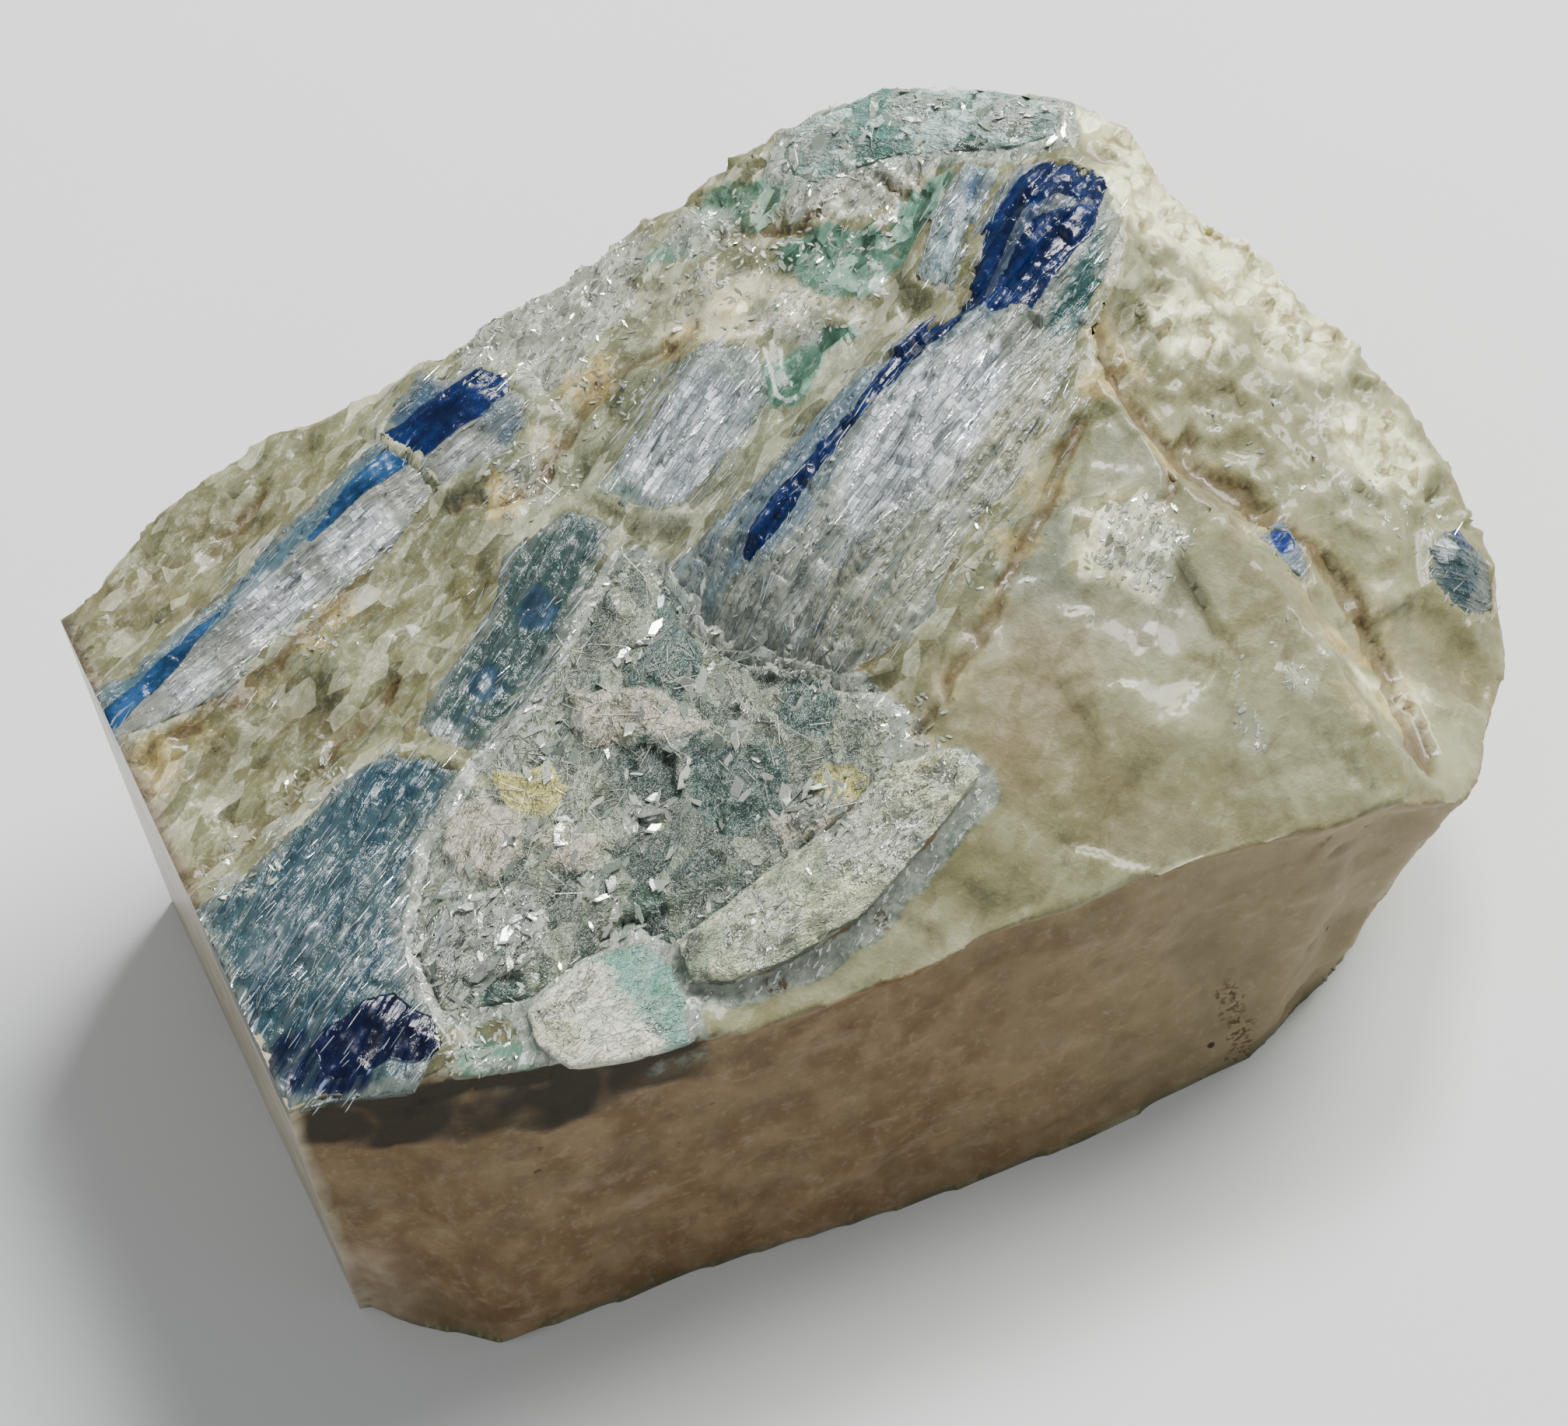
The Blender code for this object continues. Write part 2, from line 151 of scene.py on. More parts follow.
def spots(points, marks):
    """How far each point lies in round marks (x, y, radius, strength), seen from above."""
    result = np.zeros(len(points))
    for x, y, radius, strength in marks:
        away = np.hypot(points[:, 0] - x, points[:, 1] - y) / radius
        result = np.maximum(result, strength * (1.0 - smoothstep(0.35, 1.1, away)))
    return result


def strokes(points, line):
    """How near each point lies to a drawn line of (x, y, half width): 1 on it, 0 from its edge on."""
    result = np.zeros(len(points))
    for (ax, ay, aw), (bx, by, bw) in zip(line, line[1:]):
        dx, dy = bx - ax, by - ay
        share = ((points[:, 0] - ax) * dx + (points[:, 1] - ay) * dy) / (dx * dx + dy * dy)
        share = np.clip(share, 0.0, 1.0)
        away = np.hypot(points[:, 0] - ax - dx * share, points[:, 1] - ay - dy * share)
        width = aw + (bw - aw) * share
        result = np.maximum(result, 1.0 - smoothstep(0.7, 1.15, away / width))
    return result


def border_of(node):
    """The line around a crystal's top face, as flat segments seen from above, in millimetres."""
    mesh = bmesh.new()
    mesh.from_mesh(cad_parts[node].data)
    bmesh.ops.remove_doubles(mesh, verts=mesh.verts, dist=1e-6)
    segments = []
    for edge in mesh.edges:
        slopes = sorted(face.normal.z for face in edge.link_faces)
        if len(slopes) == 2 and slopes[0] < 0.35 and slopes[1] > 0.5:
            segments.append([*(edge.verts[0].co.xy / MM), *(edge.verts[1].co.xy / MM)])
    mesh.free()
    return np.array(segments)


def from_border(points, segments):
    """How far each point lies from the nearest of these segments, seen from above."""
    nearest = np.full(len(points), 1e3)
    for ax, ay, bx, by in segments:
        dx, dy = bx - ax, by - ay
        share = ((points[:, 0] - ax) * dx + (points[:, 1] - ay) * dy) / (dx * dx + dy * dy + 1e-12)
        share = np.clip(share, 0.0, 1.0)
        away = np.hypot(points[:, 0] - ax - dx * share, points[:, 1] - ay - dy * share)
        nearest = np.minimum(nearest, away)
    return nearest


def inside(points, outline):
    """Which points lie inside an outline, seen from above."""
    result = np.zeros(len(points), dtype=bool)
    for (ax, ay), (bx, by) in zip(outline, outline[1:] + outline[:1]):
        crosses = (ay > points[:, 1]) != (by > points[:, 1])
        at = ax + (points[:, 1] - ay) / (by - ay + 1e-12) * (bx - ax)
        result ^= crosses & (points[:, 0] < at)
    return result


def depth_in(points, outline):
    """How far inside an outline each point lies, in millimetres; negative outside it."""
    away = from_border(points, [[*a, *b] for a, b in zip(outline, outline[1:] + outline[:1])])
    return np.where(inside(points, outline), away, -away)


# %% [markdown]
# ## Copies of the solids to carve
#
# Each crystal starts as a copy of its solid. The copy is remeshed to an even grain of small squares, which
# gives something to carve, as a sculptor would rough out a form before the detail.

# %% A fine-grained copy of some solids
def select_only(*pieces):
    bpy.ops.object.select_all(action="DESELECT")
    for piece in pieces:
        piece.select_set(True)
    bpy.context.view_layer.objects.active = pieces[0]


def copy_of(name, node, swell=0.0):
    """A separate copy of a solid, its loose triangles merged, swollen by so many millimetres."""
    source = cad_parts[node]
    copy = bpy.data.objects.new(name, source.data.copy())
    bpy.context.scene.collection.objects.link(copy)
    copy.data.materials.clear()
    select_only(copy)
    bpy.ops.object.mode_set(mode="EDIT")
    bpy.ops.mesh.select_all(action="SELECT")
    bpy.ops.mesh.remove_doubles(threshold=1e-6)
    if swell:
        bpy.ops.transform.shrink_fatten(value=swell * MM)
    bpy.ops.object.mode_set(mode="OBJECT")
    return copy


def regrained(piece, size):
    """The piece as an even mesh of small squares, this many millimetres wide."""
    select_only(piece)
    grain = piece.modifiers.new("grain", "REMESH")
    grain.mode = "VOXEL"
    grain.voxel_size = size * MM
    grain.use_smooth_shade = True
    bpy.ops.object.modifier_apply(modifier=grain.name)
    return piece


def softened(piece, factor, repeat):
    select_only(piece)
    soft = piece.modifiers.new("soft", "SMOOTH")
    soft.factor = factor
    soft.iterations = repeat
    bpy.ops.object.modifier_apply(modifier=soft.name)
    return piece


# %% [markdown]
# ## The block of quartz
#
# The real block is one lump of milky quartz. Its pockets are closed here by joining the block with slightly
# swollen copies of the crystals before the remesh. Under each crystal the stone is then lowered, so that
# the crystal's own piece shows and not the stone below it.

# %% The block, roughed out
crystal_nodes = [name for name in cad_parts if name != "quartz_matrix"]


def crystal_tree(top_only=False):
    """All the crystals' solids, or only their top faces, as one tree to cast rays at."""
    verts, faces = [], []
    for node in crystal_nodes:
        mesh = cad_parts[node].data
        first = len(verts)
        verts += [v.co / MM for v in mesh.vertices]
        faces += [[first + i for i in p.vertices] for p in mesh.polygons
                  if not top_only or p.normal.z > 0.5]
    return BVHTree.FromPolygons(verts, faces)


QUARTZ_GRAIN = 0.42
block = copy_of("quartz_block", "quartz_matrix")
plugs = [copy_of("plug_" + node, node, swell=0.35) for node in crystal_nodes]
select_only(block, *plugs)
bpy.ops.object.join()
regrained(block, QUARTZ_GRAIN)
softened(block, 0.5, 5)
print("quartz block:", len(block.data.polygons), "faces")

# %% Where the block is broken, and how
points = points_of(block)
normals = normals_of(block)
upward = smoothstep(0.3, 0.75, normals[:, 2])
along_x, across_y = points[:, 0], points[:, 1]
# The massive quartz on the right starts past the line of the main blade.
past_blade = turned(points, GRAIN)[:, 1]
massive = np.maximum(smoothstep(-10.5, -14.5, past_blade), smoothstep(27.0, 31.0, along_x)) * upward
layered = upward * (1.0 - massive)
flat_end = points[:, 0] < SAWN_END + 0.6
flat_base = points[:, 2] < 0.6
loose = 1.0 - np.maximum(flat_end, flat_base).astype(float)

slabs = turned(points, GRAIN) * np.array([0.28, 1.0, 1.0])
rough_corner = smoothstep(20.0, 30.0, along_x + 0.8 * across_y) * upward
relief = 0.8 * chips(points, 9.0) * massive + 0.35 * lumps(points, 6.0, 1.0, 2)
relief += (0.28 + 0.85 * rough_corner) * chips(points, 2.2, 3.0)
relief += (0.06 + 0.25 * rough_corner) * lumps(points, 1.1, 5.0)
relief += layered * (0.45 * chips(slabs, 1.7, 9.0) + 0.25 * lumps(slabs, 0.9, 2.0, 3))
relief += (1.0 - upward) * 0.35 * chips(points * np.array([0.3, 0.3, 1.0]), 3.2, 4.0)
relief -= 0.15
CRACKS = [
    [(27.0, -2.7, 0.6), (25.0, -5.4, 0.7), (22.8, -8.1, 0.3)],
    [(-23.7, 20.6, 0.25), (-26.4, 19.0, 0.3), (-28.7, 18.2, 0.25)],
    [(24.4, 3.0, 0.5), (24.2, -0.6, 0.6), (25.4, -3.6, 0.6), (28.6, -8.6, 0.7), (31.4, -13.6, 0.6),
     (31.6, -18.0, 0.5), (31.0, -22.4, 0.5), (30.4, -26.0, 0.4)],
    [(-14.4, 13.0, 0.4), (-9.0, 12.0, 0.4), (-5.0, 15.4, 0.45), (-1.4, 17.4, 0.4), (3.4, 16.6, 0.35)],
    [(-37.0, 6.6, 0.4), (-31.0, 7.4, 0.4), (-26.0, 9.2, 0.4), (-20.6, 11.4, 0.35)],
    [(8.0, 22.6, 0.3), (12.6, 20.4, 0.35), (17.2, 21.6, 0.3), (19.0, 19.0, 0.3)],
    [(-38.0, -3.0, 0.3), (-31.0, -1.0, 0.35), (-26.0, 1.6, 0.3), (-21.6, 3.8, 0.3)],
    [(2.8, -14.8, 0.35), (6.8, -13.0, 0.35), (11.0, -9.6, 0.35), (16.0, -5.6, 0.35), (20.6, -1.6, 0.35)],
]
crack = np.zeros(len(points))
bent = warped(points, 1.6, 0.7)
for line in CRACKS:
    crack = np.maximum(crack, strokes(bent, [(x, y, 1.2 * w) for x, y, w in line]))
crack *= upward
relief -= 0.45 * crack
points += normals * (relief * loose)[:, None]
print("relief from %.2f to %.2f mm" % (relief.min(), relief.max()))

# %% The stone lowered under the crystals, and brought up to their edges
SEAT = 0.75
LAP = 0.6
tree = crystal_tree()
tops = crystal_tree(top_only=True)
down = Vector((0.0, 0.0, -1.0))
drawn = warped(points, 1.4, 0.35)
borders = {node: from_border(drawn, border_of(node)) for node in crystal_nodes}
border_away = np.min(list(borders.values()), axis=0)
standing_away = np.minimum(borders["mica_ledge"], borders["mica_shell"])
lowered = raised = 0
for i in range(len(points)):
    x, y, z = points[i]
    if z < 12.0 or normals[i, 2] < 0.05:
        continue
    found = tree.ray_cast(Vector((x, y, 60.0)), down)[0]
    if found is not None:
        level = found.z + 0.08 - (SEAT + 0.08) * smoothstep(0.15, LAP, border_away[i])
        facing_up = normals[i, 2] > 0.4 and z > found.z - 2.0 and border_away[i] < LAP
        points[i, 2] = level if facing_up else min(z, level)
        lowered += 1
        continue
    place = tops.find_nearest(Vector(points[i]))[0]
    away = math.hypot(place.x - x, place.y - y)
    if away < 1.8 and normals[i, 2] > 0.4 and abs(place.z - z) < 2.0 and standing_away[i] > border_away[i]:
        points[i, 2] += (place.z + 0.05 - z) * (1.0 - smoothstep(0.5, 1.8, away))
        raised += 1
print("points lowered under crystals: %d, raised to their edges: %d" % (lowered, raised))
low_corner = np.array(cad_box[0]) / MM
high_corner = np.array(cad_box[1]) / MM
points[:, 0] = np.where(flat_end, SAWN_END, points[:, 0])
for i in np.nonzero(flat_end)[0]:
    found = tree.ray_cast(Vector((-60.0, points[i, 1], points[i, 2])), Vector((1.0, 0.0, 0.0)))[0]
    if found is not None and found.x < SAWN_END + 0.2:
        points[i, 0] += 0.5
points[:, 2] = np.where(flat_base, 0.0, points[:, 2])
points = np.clip(points, low_corner, high_corner)
move_points(block, points)

# %% [markdown]
# ## Colour marks on the block
#
# Mica films and iron stains follow cracks and layers. Where each lies is painted onto the mesh as one
# number per point, from a list of round marks pushed about by noise. The material breaks their borders up
# further. Some marks paint light and shade as well: a shadow band under the front overhang, shade in
# hollows, cracks and on the sides, and lighter parts where the light falls.

# %% Marks on the block: x, y, radius, strength
GREEN = [
    (-1.0, 21.3, 2.6, 0.4), (23.6, 4.4, 1.8, 0.8), (-6.2, 0.6, 2.2, 1.0), (-26.0, -22.0, 3.0, 0.9),
    (-21.0, -20.5, 3.0, 0.8), (-12.0, -19.0, 2.4, 0.7), (38.6, -12.8, 2.2, 0.6), (27.4, -11.4, 1.8, 0.5),
    (-16.0, 21.5, 1.6, 0.4), (22.0, 21.0, 2.0, 0.7),
]
# Patches drawn as outlines: green glassy mica, silvery mica and cream quartz.
PATCHES = [
    ("green", 0.9, [(11.2, 20.2), (16.2, 18.2), (16.6, 15.1), (14.2, 13.2), (11.0, 15.0), (10.1, 17.8)]),
    ("green", 1.0, [(5.6, 12.3), (8.5, 12.9), (12.4, 12.4), (12.6, 11.4), (9.5, 11.0), (7.3, 8.8), (5.4, 8.6),
                    (4.6, 10.8)]),
    ("green", 1.0, [(18.7, 19.5), (21.4, 18.9), (22.9, 18.9), (20.1, 16.2), (17.9, 15.6), (16.1, 15.0), (17.1, 17.8)]),
    ("green", 0.7, [(8.9, 26.5), (13.5, 24.4), (13.3, 23.1), (10.7, 21.5), (6.0, 22.6), (5.2, 24.1)]),
    ("green", 0.7, [(3.1, 24.5), (5.3, 24.3), (7.9, 23.5), (5.7, 21.8), (2.4, 22.8)]),
    ("silver", 1.0, [(13.8, 24.1), (18.7, 22.6), (18.7, 19.5), (16.1, 18.7), (12.5, 20.6), (11.8, 22.2)]),
    ("cream", 0.8, [(2.6, 20.8), (6.8, 20.9), (11.5, 16.1), (13.3, 12.8), (7.6, 14.0), (3.4, 15.0), (1.5, 18.4)]),
    ("silver", 0.9, [(-4.0, 26.6), (0.8, 24.0), (1.9, 20.7), (-2.1, 19.9), (-7.5, 22.0), (-8.0, 24.6)]),
]
STAIN = [
    (-2.9, 17.3, 1.9, 1.0), (-11.4, 12.4, 2.2, 1.0), (-4.6, 17.6, 2.0, 0.8), (-7.4, 15.0, 2.0, 0.6),
    (6.2, 17.4, 2.6, 0.7), (2.8, 17.0, 2.4, 0.8), (-25.0, 9.1, 1.7, 0.8), (-22.8, 9.9, 1.8, 0.8),
    (-36.6, 5.4, 2.4, 0.8), (-33.6, 6.2, 2.0, 0.6), (-29.1, 7.6, 1.6, 0.5), (3.6, -16.4, 2.2, 0.6),
    (6.7, -13.6, 1.8, 0.6), (13.6, -7.0, 2.2, 0.7), (16.8, -5.0, 2.0, 0.6), (22.9, 0.3, 2.2, 0.9),
    (25.2, 2.6, 2.0, 0.7), (24.6, -5.2, 1.8, 0.9), (27.6, -10.4, 1.8, 0.6), (29.6, -17.6, 2.2, 0.8),
    (30.2, -22.0, 2.0, 0.8), (37.2, -20.1, 2.0, 0.5), (-23.0, 0.4, 1.2, 0.5), (10.6, -9.9, 1.8, 0.5),
    (27.2, -22.2, 1.6, 0.6), (34.0, 4.0, 3.0, 0.4), (30.0, 10.0, 3.0, 0.5), (-19.4, -0.4, 1.3, 0.4),
]
RUST = [
    (-2.9, 17.3, 0.9, 1.0), (-11.4, 12.2, 1.2, 1.0), (26.2, -5.0, 1.2, 0.8), (-4.1, -22.6, 1.2, 0.9),
    (-10.2, -24.0, 1.3, 0.9), (5.6, -14.6, 1.0, 0.6), (10.7, -18.1, 1.2, 0.4), (16.2, -28.3, 1.6, 0.8),
    (24.0, -4.4, 0.9, 0.6), (-3.1, -23.6, 1.3, 0.9), (6.7, -14.2, 0.8, 0.5), (-37.8, 16.6, 1.0, 0.7),
]
SILVER = [
    (-6.6, 24.2, 4.5, 0.8), (1.0, 24.6, 4.5, 0.8), (-4.8, 20.6, 3.6, 0.9), (6.9, 23.5, 3.2, 0.7),
    (15.7, 20.8, 2.4, 0.9), (19.6, 21.0, 2.4, 0.8), (19.8, -9.9, 3.6, 1.0), (-36.0, -5.2, 1.6, 1.0),
    (-31.6, -2.2, 1.6, 0.8), (-9.4, 12.6, 2.4, 0.8), (20.6, -21.9, 1.8, 0.6), (25.5, -20.2, 1.8, 0.6),
    (9.4, 14.6, 3.0, 0.6), (35.6, -8.6, 2.2, 0.5), (-26.4, -22.4, 1.8, 0.6), (-1.8, -17.4, 2.0, 0.6),
    (2.6, -15.0, 2.2, 0.7), (29.6, 1.6, 2.2, 0.4), (33.4, -1.6, 2.4, 0.4), (-16.4, 22.0, 2.0, 0.4),
]
# PALE: the pale cream quartz of the right end, partly painted light there and on the hump.
PALE = [
    (35.8, 7.2, 5.0, 1.0), (33.0, 12.0, 5.0, 1.0), (37.0, 2.0, 4.5, 0.9), (32.4, 18.0, 4.0, 0.9),
    (28.0, 20.5, 2.6, 0.8), (37.6, -6.0, 4.0, 0.9), (30.0, 3.6, 3.0, 0.9), (31.0, -21.0, 3.0, 0.6), (19.2, -9.4, 4.4, 0.8),
    (29.0, -18.0, 3.0, 0.3),
]
# DIM: patches painted darker brown, partly as shade on faces turned away from the light.
DIM = [(12.0, -15.0, 5.0, 0.8), (7.0, -18.0, 3.6, 1.0), (17.0, -14.6, 3.0, 0.7), (12.0, -22.0, 5.0, 0.5),
       (24.4, 1.0, 2.2, 0.6), (-30.0, 14.0, 3.0, 0.3), (-34.0, 17.0, 4.0, 0.4)]
# A dark band at the top of the front face, under the lens and the brow: partly painted shadow of the overhang, partly
# dark stone.
DARK_BAND_AND_SHADOW = [(-26.0, -23.4, 7.0, 1.0), (-31.0, -21.5, 5.0, 1.0), (-18.5, -24.5, 5.0, 0.9), (-35.4, -19.4, 3.0, 0.8)]

seen = warped(points, 3.0, 1.3)
on_top = smoothstep(0.0, 0.4, normals[:, 2])
patches = {"green": spots(seen, GREEN), "silver": spots(seen, SILVER), "cream": np.zeros(len(points))}
drawn = warped(warped(points, 2.0, 0.7), 0.6, 0.3)
for kind, strength, outline in PATCHES:
    share = smoothstep(-0.4, 0.5, depth_in(drawn, outline))
    patches[kind] = np.maximum(patches[kind], strength * share)
paint(block, "green", patches["green"] * on_top)
paint(block, "cream", patches["cream"] * on_top)
groove = strokes(warped(points, 2.0, 0.5), [(24.6, 4.0, 1.2), (24.4, -0.6, 1.3), (26.0, -4.4, 1.6), (29.4, -9.6, 1.4),
                                            (32.0, -14.0, 1.8), (32.0, -19.0, 2.0), (31.4, -23.0, 1.6)])
paint(block, "stain", np.maximum(spots(seen, STAIN), 0.5 * groove) * on_top)
paint(block, "rust", spots(warped(points, 1.2, 0.5), RUST))
paint(block, "silver", patches["silver"] * on_top)
paint(block, "pale", spots(seen, PALE) * on_top)
paint(block, "dim", spots(seen, DIM) * on_top)
# Painted shadow: the dark band lies only just under the top edge of the front face.
shadow_band_depth = smoothstep(17.5, 19.5, points[:, 2] + 1.5 * wave(points, 3.0, 8.0))
paint(block, "dark_band_and_shadow", spots(seen, DARK_BAND_AND_SHADOW) * (1.0 - on_top) * shadow_band_depth)
# The steep sides get a warmer brown colour: partly painted shade, partly the stone's own brown.
paint(block, "shaded_side", (1.0 - smoothstep(0.25, 0.6, normals[:, 2])) * loose)
# A cooler, darker tone on the upper part of the right facet: partly painted shade.
paint(block, "cool", spots(seen, [(14.0, -8.0, 6.0, 0.9), (18.6, -13.0, 5.0, 0.7), (22.0, -5.0, 4.0, 0.6)]))
paint(block, "crack", crack)
paint(block, "sawn", np.maximum(flat_end * 1.0, 0.7 * smoothstep(-33.0, -36.5, points[:, 0]) * smoothstep(12.0, 5.0, points[:, 2])))
paint(block, "middle", spots(points, [(4.0, 10.0, 16.0, 1.0), (-8.0, 16.0, 10.0, 0.8)]) * on_top)
# Painted light: the sides turn lighter towards the right end and on faces turned back towards the lights.
paint(block, "right", np.maximum(smoothstep(-5.0, 30.0, points[:, 0]), smoothstep(0.0, 0.5, normals[:, 1])))
# Painted shade: darker where the relief is low, in the hollows and pits of the stone.
paint(block, "low", smoothstep(0.15, -0.75, relief))
paint(block, "near", (1.0 - smoothstep(0.3, 1.8, border_away)) * on_top)
mica_away = np.min([away for node, away in borders.items() if node.startswith("mica")], axis=0)
paint(block, "crust", (1.0 - smoothstep(0.7, 1.8, mica_away)) * smoothstep(0.0, 0.3, normals[:, 2])
      * smoothstep(18.0, 20.0, points[:, 2]))
paint(block, "massive", massive)
paint(block, "layered", layered)
print("marks painted on the block")

# %% [markdown]
# ## Materials, written as sums
#
# A shader is a sum worked out at every point. The small class below wraps a node's socket, so that such a
# sum can be written as Python writes it, and each sign adds the Math node it stands for. Any other kind of
# node comes from one method, which takes its settings and the values of its sockets.

# %% Writing shader maths as Python
class Value:
    """A number, colour or vector on its way through a material."""

    def __init__(self, finish, socket):
        self.finish = finish
        self.socket = socket

    def _sum(self, operation, first, second):
        return self.finish.node("ShaderNodeMath", {"operation": operation}, {0: first, 1: second})

    def __add__(self, other):
        return self._sum("ADD", self, other)

    def __radd__(self, other):
        return self._sum("ADD", other, self)

    def __sub__(self, other):
        return self._sum("SUBTRACT", self, other)

    def __rsub__(self, other):
        return self._sum("SUBTRACT", other, self)

    def __mul__(self, other):
        return self._sum("MULTIPLY", self, other)

    def __rmul__(self, other):
        return self._sum("MULTIPLY", other, self)

    def __pow__(self, other):
        return self._sum("POWER", self, other)

    def between(self, low, high, start=0.0, end=1.0):
        """Rises smoothly from start at low to end at high."""
        settings = {"interpolation_type": "SMOOTHSTEP"}
        return self.finish.node("ShaderNodeMapRange", settings, {0: self, 1: low, 2: high, 3: start, 4: end})


class Finish:
    """One material under construction."""

    def __init__(self, name, roughness, specular=0.5, ior=1.54):
        self.material = bpy.data.materials.new(name)
        self.material.use_nodes = True
        self.tree = self.material.node_tree
        self.surface = self.tree.nodes["Principled BSDF"]
        self.set("Roughness", roughness)
        self.set("Specular IOR Level", specular)
        self.set("IOR", ior)

    def set(self, socket, value):
        """Gives the surface a constant, or a value that changes from place to place."""
        self._feed(self.surface.inputs[socket], value)

    def _feed(self, socket, value):
        if isinstance(value, Value):
            self.tree.links.new(value.socket, socket)
        elif isinstance(value, tuple) and len(value) == 3 and socket.type == "RGBA":
            socket.default_value = (*value, 1.0)
        else:
            socket.default_value = value

    def node(self, kind, settings=None, inputs=None, out=0):
        node = self.tree.nodes.new(kind)
        for key, value in (settings or {}).items():
            setattr(node, key, value)
        for key, value in (inputs or {}).items():
            self._feed(node.inputs[key], value)
        return Value(self, node.outputs[out])

    def place(self, scale=(1.0, 1.0, 1.0), turn=0.0):
        """Where a point is on the object, in millimetres, turned and stretched."""
        coords = self.node("ShaderNodeTexCoord", out="Object")
        turned_coords = self.node("ShaderNodeMapping", {}, {
            "Vector": coords, "Rotation": (0.0, 0.0, -turn), "Scale": (1000.0, 1000.0, 1000.0)})
        return self.node("ShaderNodeMapping", {}, {"Vector": turned_coords, "Scale": scale})

    def noise(self, place, scale, detail=3.0, rough=0.55):
        inputs = {"Vector": place, "Scale": scale, "Detail": detail, "Roughness": rough}
        return self.node("ShaderNodeTexNoise", {}, inputs, out="Fac")

    def cells(self, place, scale, out="Distance", feature="F1"):
        inputs = {"Vector": place, "Scale": scale}
        return self.node("ShaderNodeTexVoronoi", {"feature": feature}, inputs, out=out)

    def dashes(self, scale, turn, long, fill=0.5):
        """Short bright lines in one direction: 1 on a line, 0 beside it."""
        place = self.place(scale=(1.0 / long, 1.0, 1.0 / long), turn=turn)
        low = 0.56 + 0.2 * (0.5 - fill)
        return self.noise(place, scale, 2.0, 0.5).between(low, low + 0.08)

    def fibres(self, place, scale, width=0.02):
        """A tangle of thin curved lines: 1 on a line, 0 beside it."""
        wander = self.noise(place, scale, 1.0, 0.5) - 0.5
        return (wander * wander).between(width * width, 0.0)

    def painted(self, name):
        return self.node("ShaderNodeAttribute", {"attribute_name": name}, out="Fac")

    def mix(self, share, first, second):
        """One colour turning into another."""
        node = self.tree.nodes.new("ShaderNodeMix")
        node.data_type = "RGBA"
        self._feed(node.inputs["Factor"], share)
        self._feed(node.inputs[6], first)
        self._feed(node.inputs[7], second)
        return Value(self, node.outputs[2])

    def bump(self, height, depth, strength=1.0, normal=None):
        """A bumpy normal: depth is how many millimetres a height of 1 stands up."""
        inputs = {"Height": height, "Distance": depth * MM, "Strength": strength}
        if normal is not None:
            inputs["Normal"] = normal
        return self.node("ShaderNodeBump", {}, inputs)

    def bent(self, place, scale, amount):
        """A place pushed about by noise, so that straight lines drawn there look grown."""
        push = self.node("ShaderNodeTexNoise", {}, {"Vector": place, "Scale": scale, "Detail": 2.0}, out="Color")
        push = self.node("ShaderNodeVectorMath", {"operation": "SUBTRACT"}, {0: push, 1: (0.5, 0.5, 0.5)})
        push = self.node("ShaderNodeVectorMath", {"operation": "SCALE"}, {0: push, "Scale": amount})
        return self.node("ShaderNodeVectorMath", {"operation": "ADD"}, {0: place, 1: push})

    def glints(self, place, scale, lean, share, facing=None):
        """Normals that lean another way in every small cell, so that each flashes from its own angle."""
        tint = self.cells(place, scale, out="Color")
        centred = self.node("ShaderNodeVectorMath", {"operation": "SUBTRACT"}, {0: tint, 1: (0.5, 0.5, 0.5)})
        amount = share * lean
        leaning = self.node("ShaderNodeVectorMath", {"operation": "SCALE"}, {0: centred, "Scale": amount})
        facing = facing or self.node("ShaderNodeNewGeometry", out="Normal")
        total = self.node("ShaderNodeVectorMath", {"operation": "ADD"}, {0: facing, 1: leaning})
        return self.node("ShaderNodeVectorMath", {"operation": "NORMALIZE"}, {0: total})


def dress(piece, finish, slot, *nodes):
    """Gives a piece its material, hides the solids it stands for, and hangs it on the root body."""
    piece.data.materials.clear()
    piece.data.materials.append(finish.material)
    if nodes:
        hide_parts(*nodes)
    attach(piece, "root")
